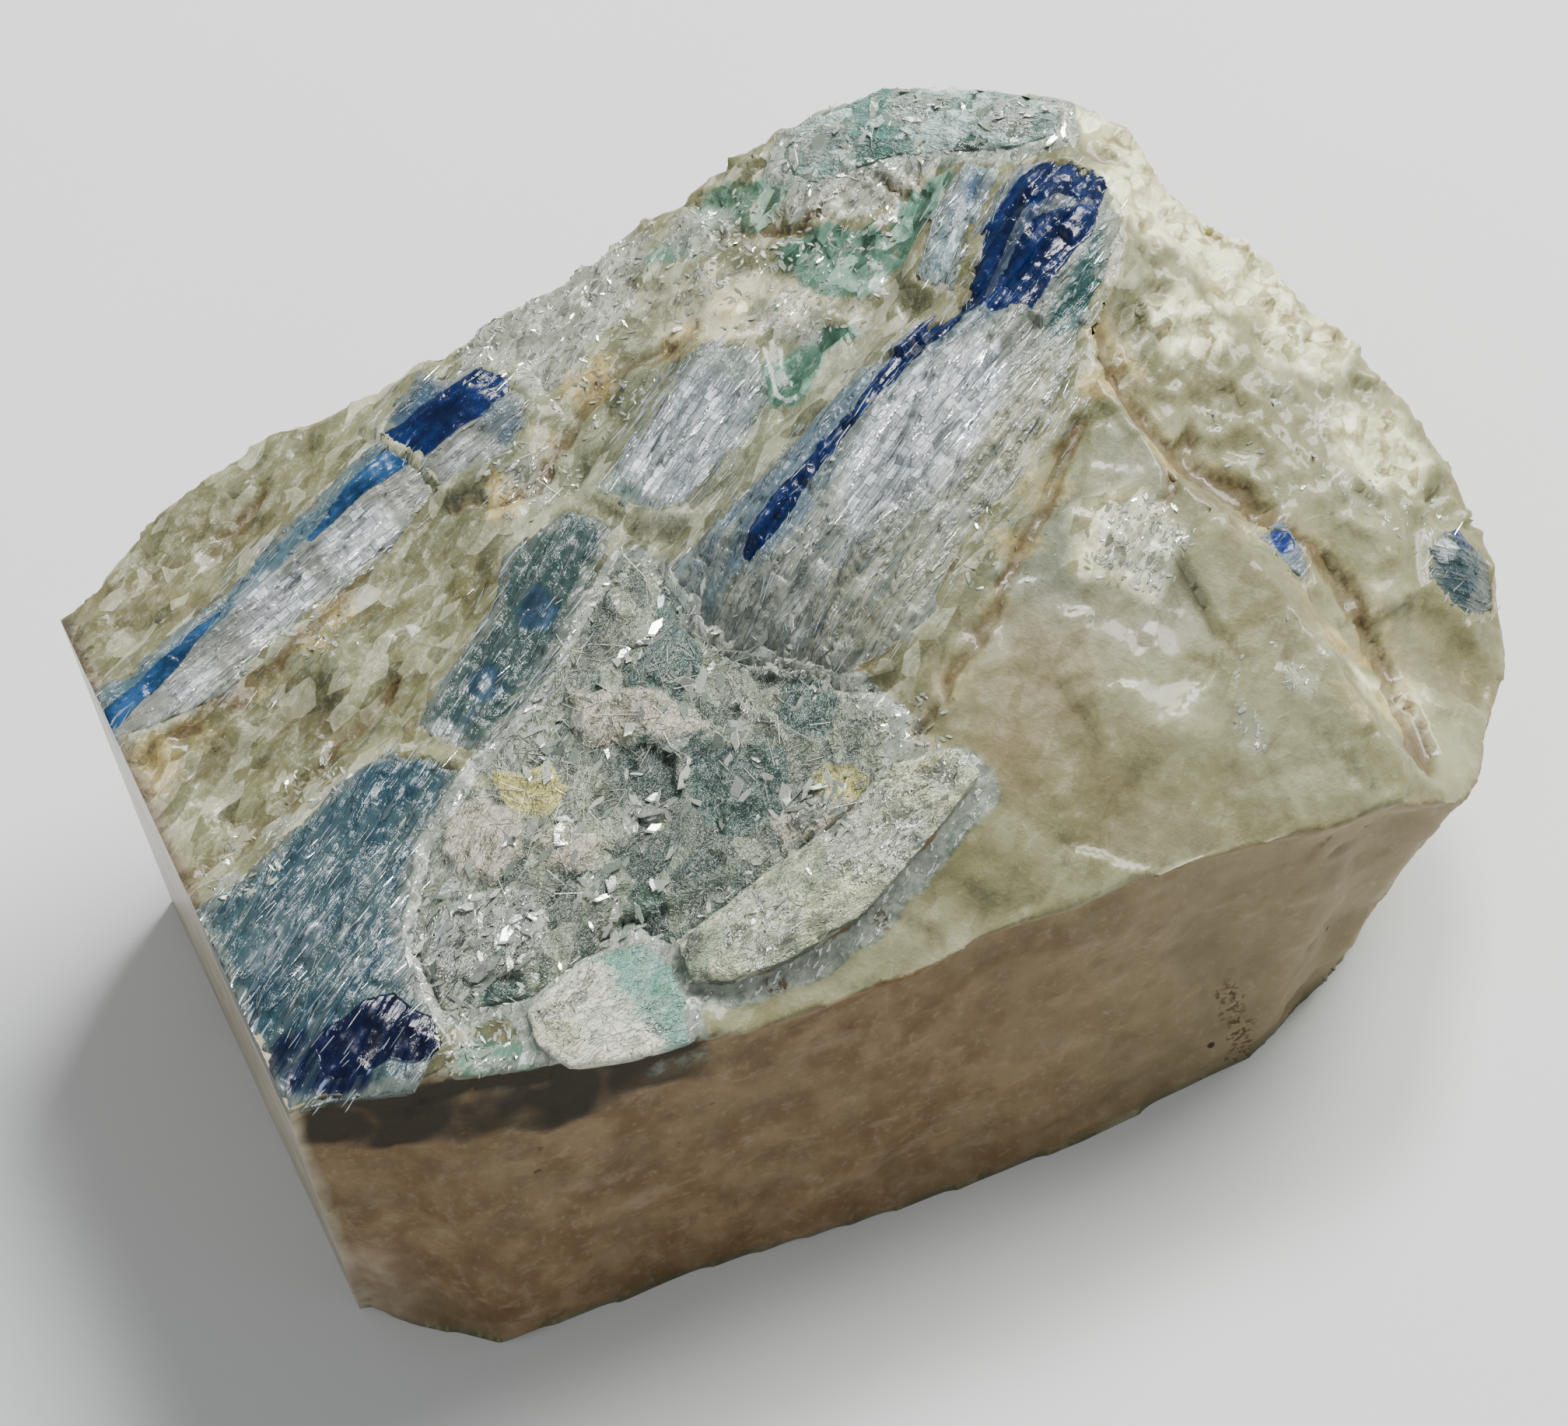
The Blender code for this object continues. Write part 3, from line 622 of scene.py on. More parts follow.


# %% [markdown]
# ## Milky quartz
#
# Milky quartz is clear quartz full of tiny bubbles, so light goes a little way in and comes back soft.
# Subsurface scattering gives that. Its broken faces are cream, grey and beige in clouds, with films of mica
# and stains of iron over them, and small dark grains. Shade in the hollows and cracks, on the steep sides
# and under the front overhang is painted into the colour as well, and so is light on the right end.

# %% The quartz finish
def quartz_finish():
    f = Finish("milky_quartz", 0.42, 0.25)
    place = f.place()
    cloud = f.noise(place, 0.09, 4.0, 0.6)
    patch = f.noise(place, 0.35, 4.0, 0.6)
    fine = f.noise(place, 1.5, 4.0, 0.65)
    streak = f.noise(f.place(scale=(0.12, 1.0, 1.0), turn=GRAIN), 0.9, 4.0, 0.6)
    layered_here = f.painted("layered")
    color = f.mix(cloud.between(0.38, 0.62), (0.128, 0.125, 0.053), (0.215, 0.220, 0.112))
    color = f.mix(patch.between(0.45, 0.75, 0.0, 0.6), color, (0.35, 0.355, 0.225))
    color = f.mix(fine.between(0.52, 0.72, 0.0, 0.30), color, (0.56, 0.55, 0.41))
    color = f.mix(fine.between(0.46, 0.28, 0.0, 0.30), color, (0.11, 0.095, 0.045))
    smooth = f.mix(f.noise(place, 0.16, 3.0, 0.5).between(0.35, 0.65), (0.195, 0.190, 0.088), (0.30, 0.298, 0.170))
    smooth = f.mix(f.painted("middle"), smooth, (0.22, 0.25, 0.16))
    smooth = f.mix(fine.between(0.56, 0.70, 0.0, 0.18), smooth, (0.58, 0.57, 0.42))
    # Painted cooler and darker on the upper right facet, partly as shade.
    smooth = f.mix(f.painted("cool") * patch.between(0.25, 0.6, 0.4, 1.0), smooth, (0.165, 0.195, 0.145))
    color = f.mix(f.painted("massive") * 0.85, color, smooth)
    color = f.mix(streak.between(0.5, 0.72, 0.0, 0.50) * layered_here, color, (0.14, 0.145, 0.09))
    shard_place = f.place(scale=(0.5, 1.0, 1.0), turn=GRAIN)
    shard = f.cells(shard_place, 1.1, out="Color")
    shard = f.node("ShaderNodeSeparateColor", {}, {"Color": shard})
    color = f.mix(shard.between(0.55, 1.0, 0.0, 0.45) * (0.08 + 0.82 * layered_here), color, (0.56, 0.56, 0.43))
    color = f.mix(shard.between(0.45, 0.0, 0.0, 0.45) * (0.12 + 0.78 * layered_here), color, (0.11, 0.11, 0.06))
    # The steep sides: a warmer brown, partly painted shade, partly the stone's own colour.
    shaded_side = f.mix(patch.between(0.3, 0.7), (0.150, 0.080, 0.031), (0.265, 0.168, 0.085))
    shaded_side = f.mix(f.noise(f.place(scale=(0.3, 1.0, 1.0)), 0.5, 5.0, 0.7).between(0.52, 0.72, 0.0, 0.6), shaded_side, (0.36, 0.27, 0.17))
    # Painted light: lighter sides towards the right end and on faces turned back.
    shaded_side = f.mix(f.painted("right"), shaded_side, (0.30, 0.24, 0.135))
    shaded_side = f.mix(fine.between(0.5, 0.75, 0.0, 0.35), shaded_side, (0.42, 0.34, 0.23))
    color = f.mix(f.painted("shaded_side") * 0.9, color, shaded_side)
    color = f.mix(f.painted("sawn") * 0.8, color, f.mix(patch.between(0.3, 0.7), (0.36, 0.27, 0.18), (0.56, 0.47, 0.35)))
    # Painted shade in the hollows of the relief.
    color = f.mix(f.painted("low") * 0.45, color, (0.12, 0.10, 0.05))
    color = f.mix(f.painted("middle") * 0.35, color, (0.20, 0.235, 0.165))
    # Darker brown patches, partly painted shade.
    color = f.mix(f.painted("dim") * patch.between(0.25, 0.6, 0.3, 1.0) * 0.7, color, (0.21, 0.165, 0.085))
    # The cream of the right end, partly painted light; the dark pits between its grains are partly painted shade.
    pale = (f.painted("pale") + 0.5 * (patch - 0.5)).between(0.2, 0.8)
    color = f.mix(pale * 0.92, color, f.mix(shard.between(0.1, 0.6), (0.58, 0.56, 0.31), (0.96, 0.98, 0.64)))
    pits = f.cells(f.bent(place, 1.2, 0.8), 0.8).between(0.45, 0.72) * patch.between(0.35, 0.6, 0.3, 1.0)
    color = f.mix(pits * pale * 0.85, color, (0.25, 0.20, 0.07))
    color = f.mix(f.painted("cream") * patch.between(0.3, 0.6), color, (0.62, 0.58, 0.40))
    crust = (f.painted("crust") + 0.7 * (patch - 0.5)).between(0.25, 0.75)
    color = f.mix(crust, color, f.mix(fine.between(0.38, 0.62), (0.035, 0.07, 0.055), (0.27, 0.31, 0.245)))
    green = (f.painted("green") + 0.5 * (streak - 0.5) + 0.6 * (patch - 0.5)).between(0.35, 0.8)
    color = f.mix(green * 0.9, color, f.mix(shard, (0.025, 0.092, 0.060), (0.11, 0.24, 0.175)))
    silver = (f.painted("silver") + 0.15 * f.painted("near") + 0.5 * crust + 0.7 * (patch - 0.5)).between(0.3, 0.8)
    color = f.mix(silver * 0.6, color, (0.42, 0.45, 0.39))
    stain = (f.painted("stain") + 1.0 * (fine - 0.5)).between(0.35, 1.0)
    color = f.mix(stain * 0.7, color, f.mix(streak.between(0.3, 0.7), (0.34, 0.23, 0.06), (0.68, 0.58, 0.26)))
    # White dashes over the silvery films: partly silvery mica, partly painted glints.
    dash = f.dashes(4.0, GRAIN, 3.0, 0.45) * (0.9 * silver + 0.12 * layered_here + 0.05).between(0.0, 0.9)
    color = f.mix(dash, color, (0.86, 0.88, 0.82))
    rust = (f.painted("rust") + 1.2 * (fine - 0.5)).between(0.5, 0.9) * f.noise(place, 2.6, 3.0).between(0.48, 0.56)
    color = f.mix(rust * 0.85, color, (0.07, 0.035, 0.012))
    # The cracks are painted dark brown: partly iron stain, partly painted shade in them.
    color = f.mix(f.painted("crack") * patch.between(0.35, 0.6, 0.35, 0.85), color, (0.10, 0.065, 0.025))
    # Painted shadow under the overhang, darkest just under the top edge of the front face.
    color = f.mix((f.painted("dark_band_and_shadow") + 0.6 * (patch - 0.5)).between(0.2, 0.8) * 0.95, color, (0.014, 0.010, 0.003))
    speck = f.cells(place, 0.33).between(0.10, 0.06) * cloud.between(0.55, 0.60)
    color = f.mix(speck, color, (0.03, 0.025, 0.02))
    f.set("Base Color", color)
    f.set("Subsurface Weight", 0.15)
    f.set("Subsurface Radius", (0.0020, 0.0016, 0.0011))
    f.set("Subsurface Scale", 1.0)
    f.set("Metallic", dash * 0.6)
    satin = 0.38 + 0.12 * f.painted("massive") + 0.22 * f.painted("shaded_side") - 0.24 * silver
    f.set("Roughness", satin)
    f.set("Coat Weight", 0.28 - 0.28 * f.painted("shaded_side"))
    f.set("Coat Roughness", 0.10)
    broken = (1.0 - 0.85 * f.painted("shaded_side")) * (0.22 + 0.55 * layered_here + 0.4 * pale)
    tilted = f.glints(f.place(scale=(0.6, 1.0, 1.0), turn=GRAIN), 0.40, 0.40, broken)
    tilted = f.glints(shard_place, 1.1, 0.75, broken * (0.75 + 0.5 * pale), tilted)
    tilted = f.glints(f.place(scale=(0.6, 1.2, 1.0), turn=GRAIN), 2.4, 1.0, broken * (0.35 + 0.6 * silver + 0.3 * pale), tilted)
    height = 0.25 * fine + 0.6 * streak * layered_here + 0.5 * dash
    f.set("Normal", f.bump(height, 0.30, 1.0, tilted))
    return f


dress(block, quartz_finish(), "quartz", "quartz_matrix")
print("quartz finished")

# %% [markdown]
# ## Kyanite blades
#
# Kyanite grows as long flat blades with fine lines along them, and it breaks across in steps. Each blade is
# carved from its solid: lanes of slightly different height run along its grain, and partings cross them.
# Its colour is zoned, deepest blue along a core line, so the core is painted on point by point.

# %% Carving one blade
def carved(name, node, grain, lane, depth, size, seed=1.0):
    """A blade with lanes along its grain and small steps across them."""
    piece = regrained(copy_of(name, node, swell=0.30), size * (1.0))
    softened(piece, 0.4, 2)
    points = points_of(piece)
    normals = normals_of(piece)
    turned_points = turned(points, math.radians(grain))
    wobble = 0.35 * wave(points, 6.0, seed)
    offset = np.zeros(len(points))
    for width, share in ((lane, 1.0), (lane * 0.45, 0.55), (lane * 0.21, 0.3)):
        row = np.floor((turned_points[:, 1] + wobble) / width)
        part = np.floor(turned_points[:, 0] / (width * 7.0) + row * 0.618)
        for i in range(len(points)):
            offset[i] += share * (noise.cell(Vector((row[i] * 1.37, part[i] * 2.71, seed))) - 0.5)
    up = smoothstep(0.2, 0.7, normals[:, 2])
    points[:, 2] += depth * offset * up
    points += normals * (0.06 * wave(points, 0.9, seed))[:, None]
    move_points(piece, points)
    softened(piece, 0.35, 1)
    points = np.clip(points_of(piece), low_corner, high_corner)
    move_points(piece, points)
    border = from_border(warped(points, 0.9, 0.5), border_of(node))
    paint(piece, "rim", 1.0 - smoothstep(0.0, 1.3, border))
    print("%s: %d faces" % (name, len(piece.data.polygons)))
    return piece, points


# %% [markdown]
# The finish of kyanite is one recipe with other colours in it: a pale edge colour, a deep core colour, fine
# streaks along the grain, partings across it, and a pearly flash where thin cleaved layers lift. The flash is
# what makes the broad blades look silver, so it is part metal-like white, part clear gloss.

# %% The kyanite finish
def kyanite_finish(name, grain, edge, body, core, sheen=0.5, streaks=0.6):
    f = Finish(name, 0.3, 0.3, 1.6)
    turn = math.radians(grain)
    place = f.place()
    long_lines = f.noise(f.place(scale=(0.04, 1.0, 0.4), turn=turn), 1.8, 4.0, 0.65)
    patch = f.noise(f.place(scale=(0.5, 1.0, 0.5), turn=turn), 0.7, 5.0, 0.65)
    cloud = f.noise(place, 0.35, 3.0, 0.6)
    rim = (f.painted("rim") + 0.9 * (patch - 0.5)).between(0.35, 0.9)
    deep = (f.painted("core") + 0.55 * (long_lines - 0.5) + 0.3 * (patch - 0.5)).between(0.32, 0.62)
    bands = f.noise(f.place(scale=(0.025, 1.0, 0.4), turn=turn), 0.9, 2.0, 0.5)
    tint = (f.painted("body") + 0.8 * (bands - 0.5) + 0.8 * (long_lines - 0.5) + 0.6 * (cloud - 0.5)).between(0.2, 0.85)
    color = f.mix(tint, edge, body)
    white = (f.painted("white") + 0.6 * (bands - 0.5) + 0.5 * (long_lines - 0.5) + 0.6 * (patch - 0.5)).between(0.30, 0.85)
    color = f.mix(f.painted("warm") * patch.between(0.3, 0.6, 0.4, 0.9), color, f.mix(long_lines.between(0.4, 0.6), (0.21, 0.21, 0.135), (0.42, 0.42, 0.31)))
    # White marks along the blade: partly silvery cleaved layers, partly painted sheen.
    color = f.mix(white * 0.75 * streaks, color, (0.60, 0.66, 0.70))
    color = f.mix(bands.between(0.50, 0.36, 0.0, 0.35), color, (0.06, 0.09, 0.085))
    dark_line = long_lines.between(0.47, 0.33, 0.0, 0.55)
    color = f.mix(dark_line * (1.0 - 0.5 * white), color, (0.045, 0.07, 0.075))
    dash = f.dashes(3.2, turn, 6.0, 0.52)
    cleaved = {"Vector": f.bent(f.place(turn=turn), 0.7, 0.35), "Scale": 1.0, "Mortar Size": 0.035,
               "Mortar Smooth": 0.3, "Brick Width": 0.95, "Row Height": 0.5, "Color1": (0.0, 0.0, 0.0),
               "Color2": (1.0, 1.0, 1.0), "Mortar": (0.0, 0.0, 0.0)}
    step = f.node("ShaderNodeTexBrick", {"offset": 0.37}, cleaved, out="Color")
    step = f.node("ShaderNodeSeparateColor", {}, {"Color": step})
    gap = f.node("ShaderNodeTexBrick", {"offset": 0.37}, cleaved, out="Fac")
    # Bright cells, white dashes and pale flecks in the blue: partly cleavage, partly painted glints.
    color = f.mix(white * step.between(0.45, 0.9, 0.0, 0.85), color, (0.84, 0.90, 0.95))
    color = f.mix(gap * white * 0.7, color, (0.11, 0.15, 0.18))
    color = f.mix(dash * (white * 0.85 + 0.10) * (0.4 + streaks), color, (0.88, 0.92, 0.94))
    color = f.mix(rim * 0.45, color, f.mix(cloud, (0.11, 0.125, 0.09), (0.36, 0.39, 0.33)))
    blue = f.mix(patch.between(0.35, 0.65), tuple(0.5 * c for c in core), tuple(1.6 * c for c in core))
    blue = f.mix(dash * patch.between(0.54, 0.68) * 0.7, blue, (0.30, 0.40, 0.66))
    color = f.mix(deep, color, blue)
    color = f.mix(f.painted("teal") * patch.between(0.3, 0.5), color, f.mix(dash, (0.022, 0.075, 0.075), (0.3, 0.42, 0.42)))
    f.set("Base Color", color)
    shine = (white * 0.75 + 0.25) * dash * (1.0 - deep)
    f.set("Metallic", shine * sheen)
    f.set("Roughness", patch.between(0.3, 0.7, 0.12, 0.30))
    f.set("Transmission Weight", 0.10)
    loose = 1.0 - 0.9 * deep
    parting = f.node("ShaderNodeTexBrick", {"offset": 0.37}, {
        "Vector": f.place(turn=turn), "Color1": (0.0, 0.0, 0.0), "Color2": (1.0, 1.0, 1.0), "Mortar": (0.5, 0.5, 0.5),
        "Scale": 1.0, "Mortar Size": 0.02, "Brick Width": 2.1, "Row Height": 0.42})
    height = 0.7 * long_lines + 0.3 * dash + 0.35 * parting * patch.between(0.4, 0.6)
    tilted = f.glints(f.place(scale=(0.05, 1.0, 0.4), turn=turn), 1.0, 0.35, (0.35 + 0.65 * white) * loose)
    tilted = f.glints(f.place(scale=(0.25, 1.4, 0.4), turn=turn), 1.8, 0.8, (0.3 + 0.7 * white) * loose, tilted)
    f.set("Normal", f.bump(height * (1.0 - 0.7 * deep), 0.35, 1.0, tilted))
    return f


def paint_kyanite(piece, core, body, white):
    paint(piece, "core", core)
    paint(piece, "body", body)
    paint(piece, "white", white)


# %% The broad main blade with its deep-blue terminal
main_blade, points = carved("main_blade", "kyanite_blade_main", 29.5, 1.1, 0.30, 0.2, 1.0)
seen = warped(points, 2.0, 0.35)
drawn = warped(warped(points, 1.2, 0.12), 0.4, 0.08)
spindle = [(-0.6, -0.5, 0.35), (0.6, 0.3, 0.75), (2.6, 1.4, 0.8), (3.6, 2.0, 0.55), (6.2, 3.3, 0.55), (9.3, 5.0, 0.62),
           (12.0, 6.7, 0.8), (15.4, 8.4, 1.0), (18.4, 9.8, 1.5), (20.6, 10.4, 2.0)]
terminal = [(19.8, 12.1), (22.1, 13.8), (26.2, 15.9), (29.2, 15.6), (29.6, 12.6), (26.6, 9.2), (24.0, 7.6), (21.0, 5.6),
            (19.0, 7.0), (19.2, 9.6)]
core = np.maximum(strokes(drawn, spindle), smoothstep(-0.3, 0.3, depth_in(drawn, terminal)))
streak = strokes(drawn, [(19.6, 8.8, 0.35), (21.9, 10.6, 0.45), (24.1, 12.4, 0.6), (26.1, 12.3, 0.7), (27.6, 11.4, 0.5)])
core *= 1.0 - 0.5 * streak
halo = strokes(seen, [(x, y, w * 2.0 + 0.6) for x, y, w in spindle])
teal_edge = [(27.4, 9.8), (28.1, 10.2), (26.0, 6.0), (23.2, 4.1), (20.7, 3.7), (22.1, 5.4), (25.0, 7.6)]
rim = smoothstep(-0.3, 0.4, depth_in(drawn, teal_edge))
paint(main_blade, "teal", rim)
# The glint zone, the foot and the pale streak are painted white: partly silvery cleaved layers, partly painted
# highlight.
glint_zone = [(12.2, 6.2), (17.3, 5.4), (18.3, 2.9), (14.0, -1.0), (9.0, -3.0), (5.1, -2.2), (6.5, 1.4)]
glow = spots(seen, [(10.4, -0.6, 6.0, 0.45), (5.4, -3.6, 4.5, 0.35), (1.2, -6.4, 4.0, 0.4), (12.0, 8.6, 2.6, 0.3)])
glow = np.maximum(glow, smoothstep(-1.5, 1.0, depth_in(drawn, glint_zone)))
glow = np.maximum(glow, streak * 0.6)
foot = spots(seen, [(-2.4, 1.6, 4.0, 0.8), (-0.6, -2.4, 3.0, 0.5)])
warm_zone = [(22.0, 3.5), (18.0, 2.5), (13.0, -1.5), (7.0, -4.0), (1.0, -5.0), (-2.0, -8.0), (4.0, -9.6), (10.0, -7.0),
             (15.0, -4.4), (20.0, -0.4)]
paint(main_blade, "warm", smoothstep(-1.0, 1.2, depth_in(seen, warm_zone)))
flank = smoothstep(-0.4, 0.6, turned(drawn, GRAIN)[:, 1])
body = np.clip(0.35 * halo + 0.30 - 0.32 * foot + 0.50 * flank, 0.0, 1.0)
glow = np.maximum(glow, 0.6 * foot)
paint_kyanite(main_blade, core, body, glow * (1.0 - core) * (1.0 - 0.6 * flank))
dress(main_blade, kyanite_finish("main_kyanite", 29.5, (0.29, 0.32, 0.265), (0.115, 0.17, 0.21),
                                 (0.002, 0.012, 0.062), 0.9), "blue_kyanite", "kyanite_blade_main")

# %% The long blade at the back, and its offset tip
back_blade, points = carved("back_blade", "kyanite_blade_back", 18.0, 0.8, 0.14, 0.2, 2.0)
seen = warped(points, 2.0, 0.3)
core = strokes(seen, [(-38.5, 9.2, 0.8), (-35.3, 10.3, 0.7), (-31.1, 12.6, 0.4), (-29.6, 13.3, 0.2)])
core = np.maximum(core, strokes(seen, [(-22.6, 15.3, 0.3), (-19.4, 16.8, 0.8), (-16.0, 18.2, 1.1)]))
body = strokes(seen, [(-38.0, 10.6, 1.2), (-29.0, 13.9, 1.2), (-22.0, 17.4, 1.5), (-16.0, 19.6, 1.6)])
white = spots(seen, [(-26.0, 11.6, 4.0, 0.9), (-20.0, 13.6, 3.6, 1.0), (-33.0, 9.4, 3.0, 0.6)])
paint_kyanite(back_blade, 0.8 * core, body, white * (1 - core))
pale_blade = kyanite_finish("back_kyanite", 18.0, (0.26, 0.27, 0.235), (0.07, 0.13, 0.16), (0.012, 0.055, 0.14), 0.7)
dress(back_blade, pale_blade, "pale_kyanite", "kyanite_blade_back")

back_tip, points = carved("back_blade_tip", "kyanite_blade_back_tip", 18.0, 0.8, 0.16, 0.2, 3.0)
seen = warped(points, 1.6, 0.25)
core = strokes(seen, [(-16.0, 18.6, 1.5), (-12.7, 18.9, 1.7), (-9.0, 20.0, 1.5)])
body = np.maximum(core, spots(seen, [(-13.5, 21.4, 3.0, 1.0), (-9.0, 17.0, 2.6, 0.7)]))
white = spots(seen, [(-12.0, 15.6, 2.6, 0.6)])
paint_kyanite(back_tip, core, body, white)
dress(back_tip, kyanite_finish("tip_kyanite", 18.0, (0.26, 0.27, 0.24), (0.055, 0.10, 0.15),
                               (0.002, 0.013, 0.066), 0.6, 0.4), "blue_kyanite", "kyanite_blade_back_tip")

# %% The denim blade at the front, navy at the sawn corner
front_blade, points = carved("front_blade", "kyanite_blade_front", 38.0, 0.9, 0.16, 0.2, 4.0)
seen = warped(points, 2.0, 0.5)
core = strokes(seen, [(-33.6, -18.6, 1.9), (-31.2, -18.2, 2.2), (-29.4, -19.6, 1.5)])
core = np.maximum(core, 0.55 * spots(seen, [(-36.4, -17.8, 3.4, 1.0), (-34.6, -20.0, 2.6, 1.0)]))
body = 0.55 + spots(seen, [(-25.6, -9.0, 2.6, 0.4), (-36.0, -14.5, 3.5, 0.4), (-24.0, -3.0, 3.0, 0.3)])
white = spots(seen, [(-34.0, -10.5, 5.0, 0.35), (-30.0, -8.0, 4.0, 0.30), (-28.0, -15.0, 3.0, 0.6)])
paint_kyanite(front_blade, core, body, white * (1 - core))
dress(front_blade, kyanite_finish("front_kyanite", 38.0, (0.075, 0.125, 0.130), (0.022, 0.060, 0.085),
                                  (0.0008, 0.004, 0.026), 0.8, 0.3), "blue_kyanite", "kyanite_blade_front")

# %% The silver, teal and clear blades, and the two small ones on the right
silver_blade, points = carved("silver_blade", "kyanite_blade_silver", 31.0, 0.7, 0.16, 0.2, 5.0)
seen = warped(points, 2.0, 0.4)
edge_shade = spots(seen, [(4.6, 9.4, 2.4, 0.8), (-4.6, 9.0, 2.0, 0.5)])
paint_kyanite(silver_blade, edge_shade * 0.1, edge_shade, spots(seen, [(0.0, 10.4, 6.0, 1.0), (-2.0, 8.0, 3.5, 0.8)]))
dress(silver_blade, kyanite_finish("silver_kyanite", 31.0, (0.25, 0.31, 0.275), (0.085, 0.145, 0.125),
                                   (0.04, 0.08, 0.08), 0.8), "pale_kyanite", "kyanite_blade_silver")

teal_blade, points = carved("teal_blade", "kyanite_blade_teal", 37.0, 0.8, 0.14, 0.2, 6.0)
seen = warped(points, 1.6, 0.5)
cells = spots(seen, [(-12.6, 3.8, 2.4, 1.0), (-17.4, 0.6, 2.2, 0.9), (-19.4, -1.0, 1.8, 0.7)])
white = spots(seen, [(-21.0, -1.6, 2.0, 0.7), (-9.0, 7.6, 2.0, 0.4)])
paint_kyanite(teal_blade, cells * 0.6, 0.7 + 0.0 * cells, white)
dress(teal_blade, kyanite_finish("teal_kyanite", 37.0, (0.11, 0.145, 0.125), (0.030, 0.064, 0.060),
                                 (0.022, 0.052, 0.088), 0.5, 0.35), "green_kyanite", "kyanite_blade_teal")

clear_blade, points = carved("clear_blade", "kyanite_blade_pale", 41.0, 0.6, 0.12, 0.18, 7.0)
seen = warped(points, 1.6, 0.2)
paint_kyanite(clear_blade, 0.0 * points[:, 0], spots(seen, [(22.5, 15.6, 2.0, 0.9)]),
              spots(seen, [(20.0, 15.0, 3.0, 0.4)]))
dress(clear_blade, kyanite_finish("clear_kyanite", 41.0, (0.17, 0.25, 0.275), (0.08, 0.13, 0.20),
                                  (0.03, 0.06, 0.20), 0.7, 0.4), "pale_kyanite", "kyanite_blade_pale")

end_stub, points = carved("end_stub", "kyanite_stub", -20.0, 0.6, 0.12, 0.18, 8.0)
seen = warped(points, 1.2, 0.3)
paint_kyanite(end_stub, spots(seen, [(40.8, -11.6, 1.4, 0.7)]), 0.8 + 0.0 * points[:, 0],
              spots(seen, [(38.8, -12.4, 1.4, 0.7)]))
dress(end_stub, kyanite_finish("stub_kyanite", -20.0, (0.07, 0.11, 0.11), (0.018, 0.045, 0.052),
                               (0.010, 0.025, 0.09), 0.6, 0.3), "green_kyanite", "kyanite_stub")

blue_chip, points = carved("blue_chip", "kyanite_chip", 20.0, 0.5, 0.10, 0.16, 9.0)
paint_kyanite(blue_chip, spots(points, [(28.9, -10.8, 1.0, 0.8)]), 0.8 + 0.0 * points[:, 0],
              spots(points, [(27.6, -11.0, 1.0, 0.8)]))
dress(blue_chip, kyanite_finish("chip_kyanite", 20.0, (0.38, 0.42, 0.42), (0.10, 0.17, 0.28),
                                (0.012, 0.03, 0.15), 0.4), "blue_kyanite", "kyanite_chip")

# %% [markdown]
# ## Mica
#
# Mica splits into thin bent sheets, and the mass between the blades is a heap of them. The heap's body is
# carved in tilted chips of two sizes, like crumpled foil, and its finish is pearly.

# %% Carving a heap of mica
def heaped(name, node, grain, size, tall, seed):
    piece = regrained(copy_of(name, node, swell=0.35), size * (1.0))
    softened(piece, 0.5, 3)
    points = points_of(piece)
    normals = normals_of(piece)
    stretched = turned(points, math.radians(grain)) * np.array([0.5, 1.0, 1.0])
    up = smoothstep(0.1, 0.6, normals[:, 2])
    lift = 1.5 * chips(stretched, 2.4, seed) + 0.9 * chips(points, 1.1, seed + 3.0)
    lift += 0.25 * lumps(points, 0.7, seed)
    points[:, 2] += tall * lift * up
    # Painted shade: the low points between the chips, darkened in the finish.
    low = smoothstep(0.1, -0.9, lift)
    points = np.clip(points, low_corner, high_corner)
    points[:, 0] = np.maximum(points[:, 0], SAWN_END)
    move_points(piece, points)
    paint(piece, "low", low)
    print("%s: %d faces" % (name, len(piece.data.polygons)))
    return piece, points


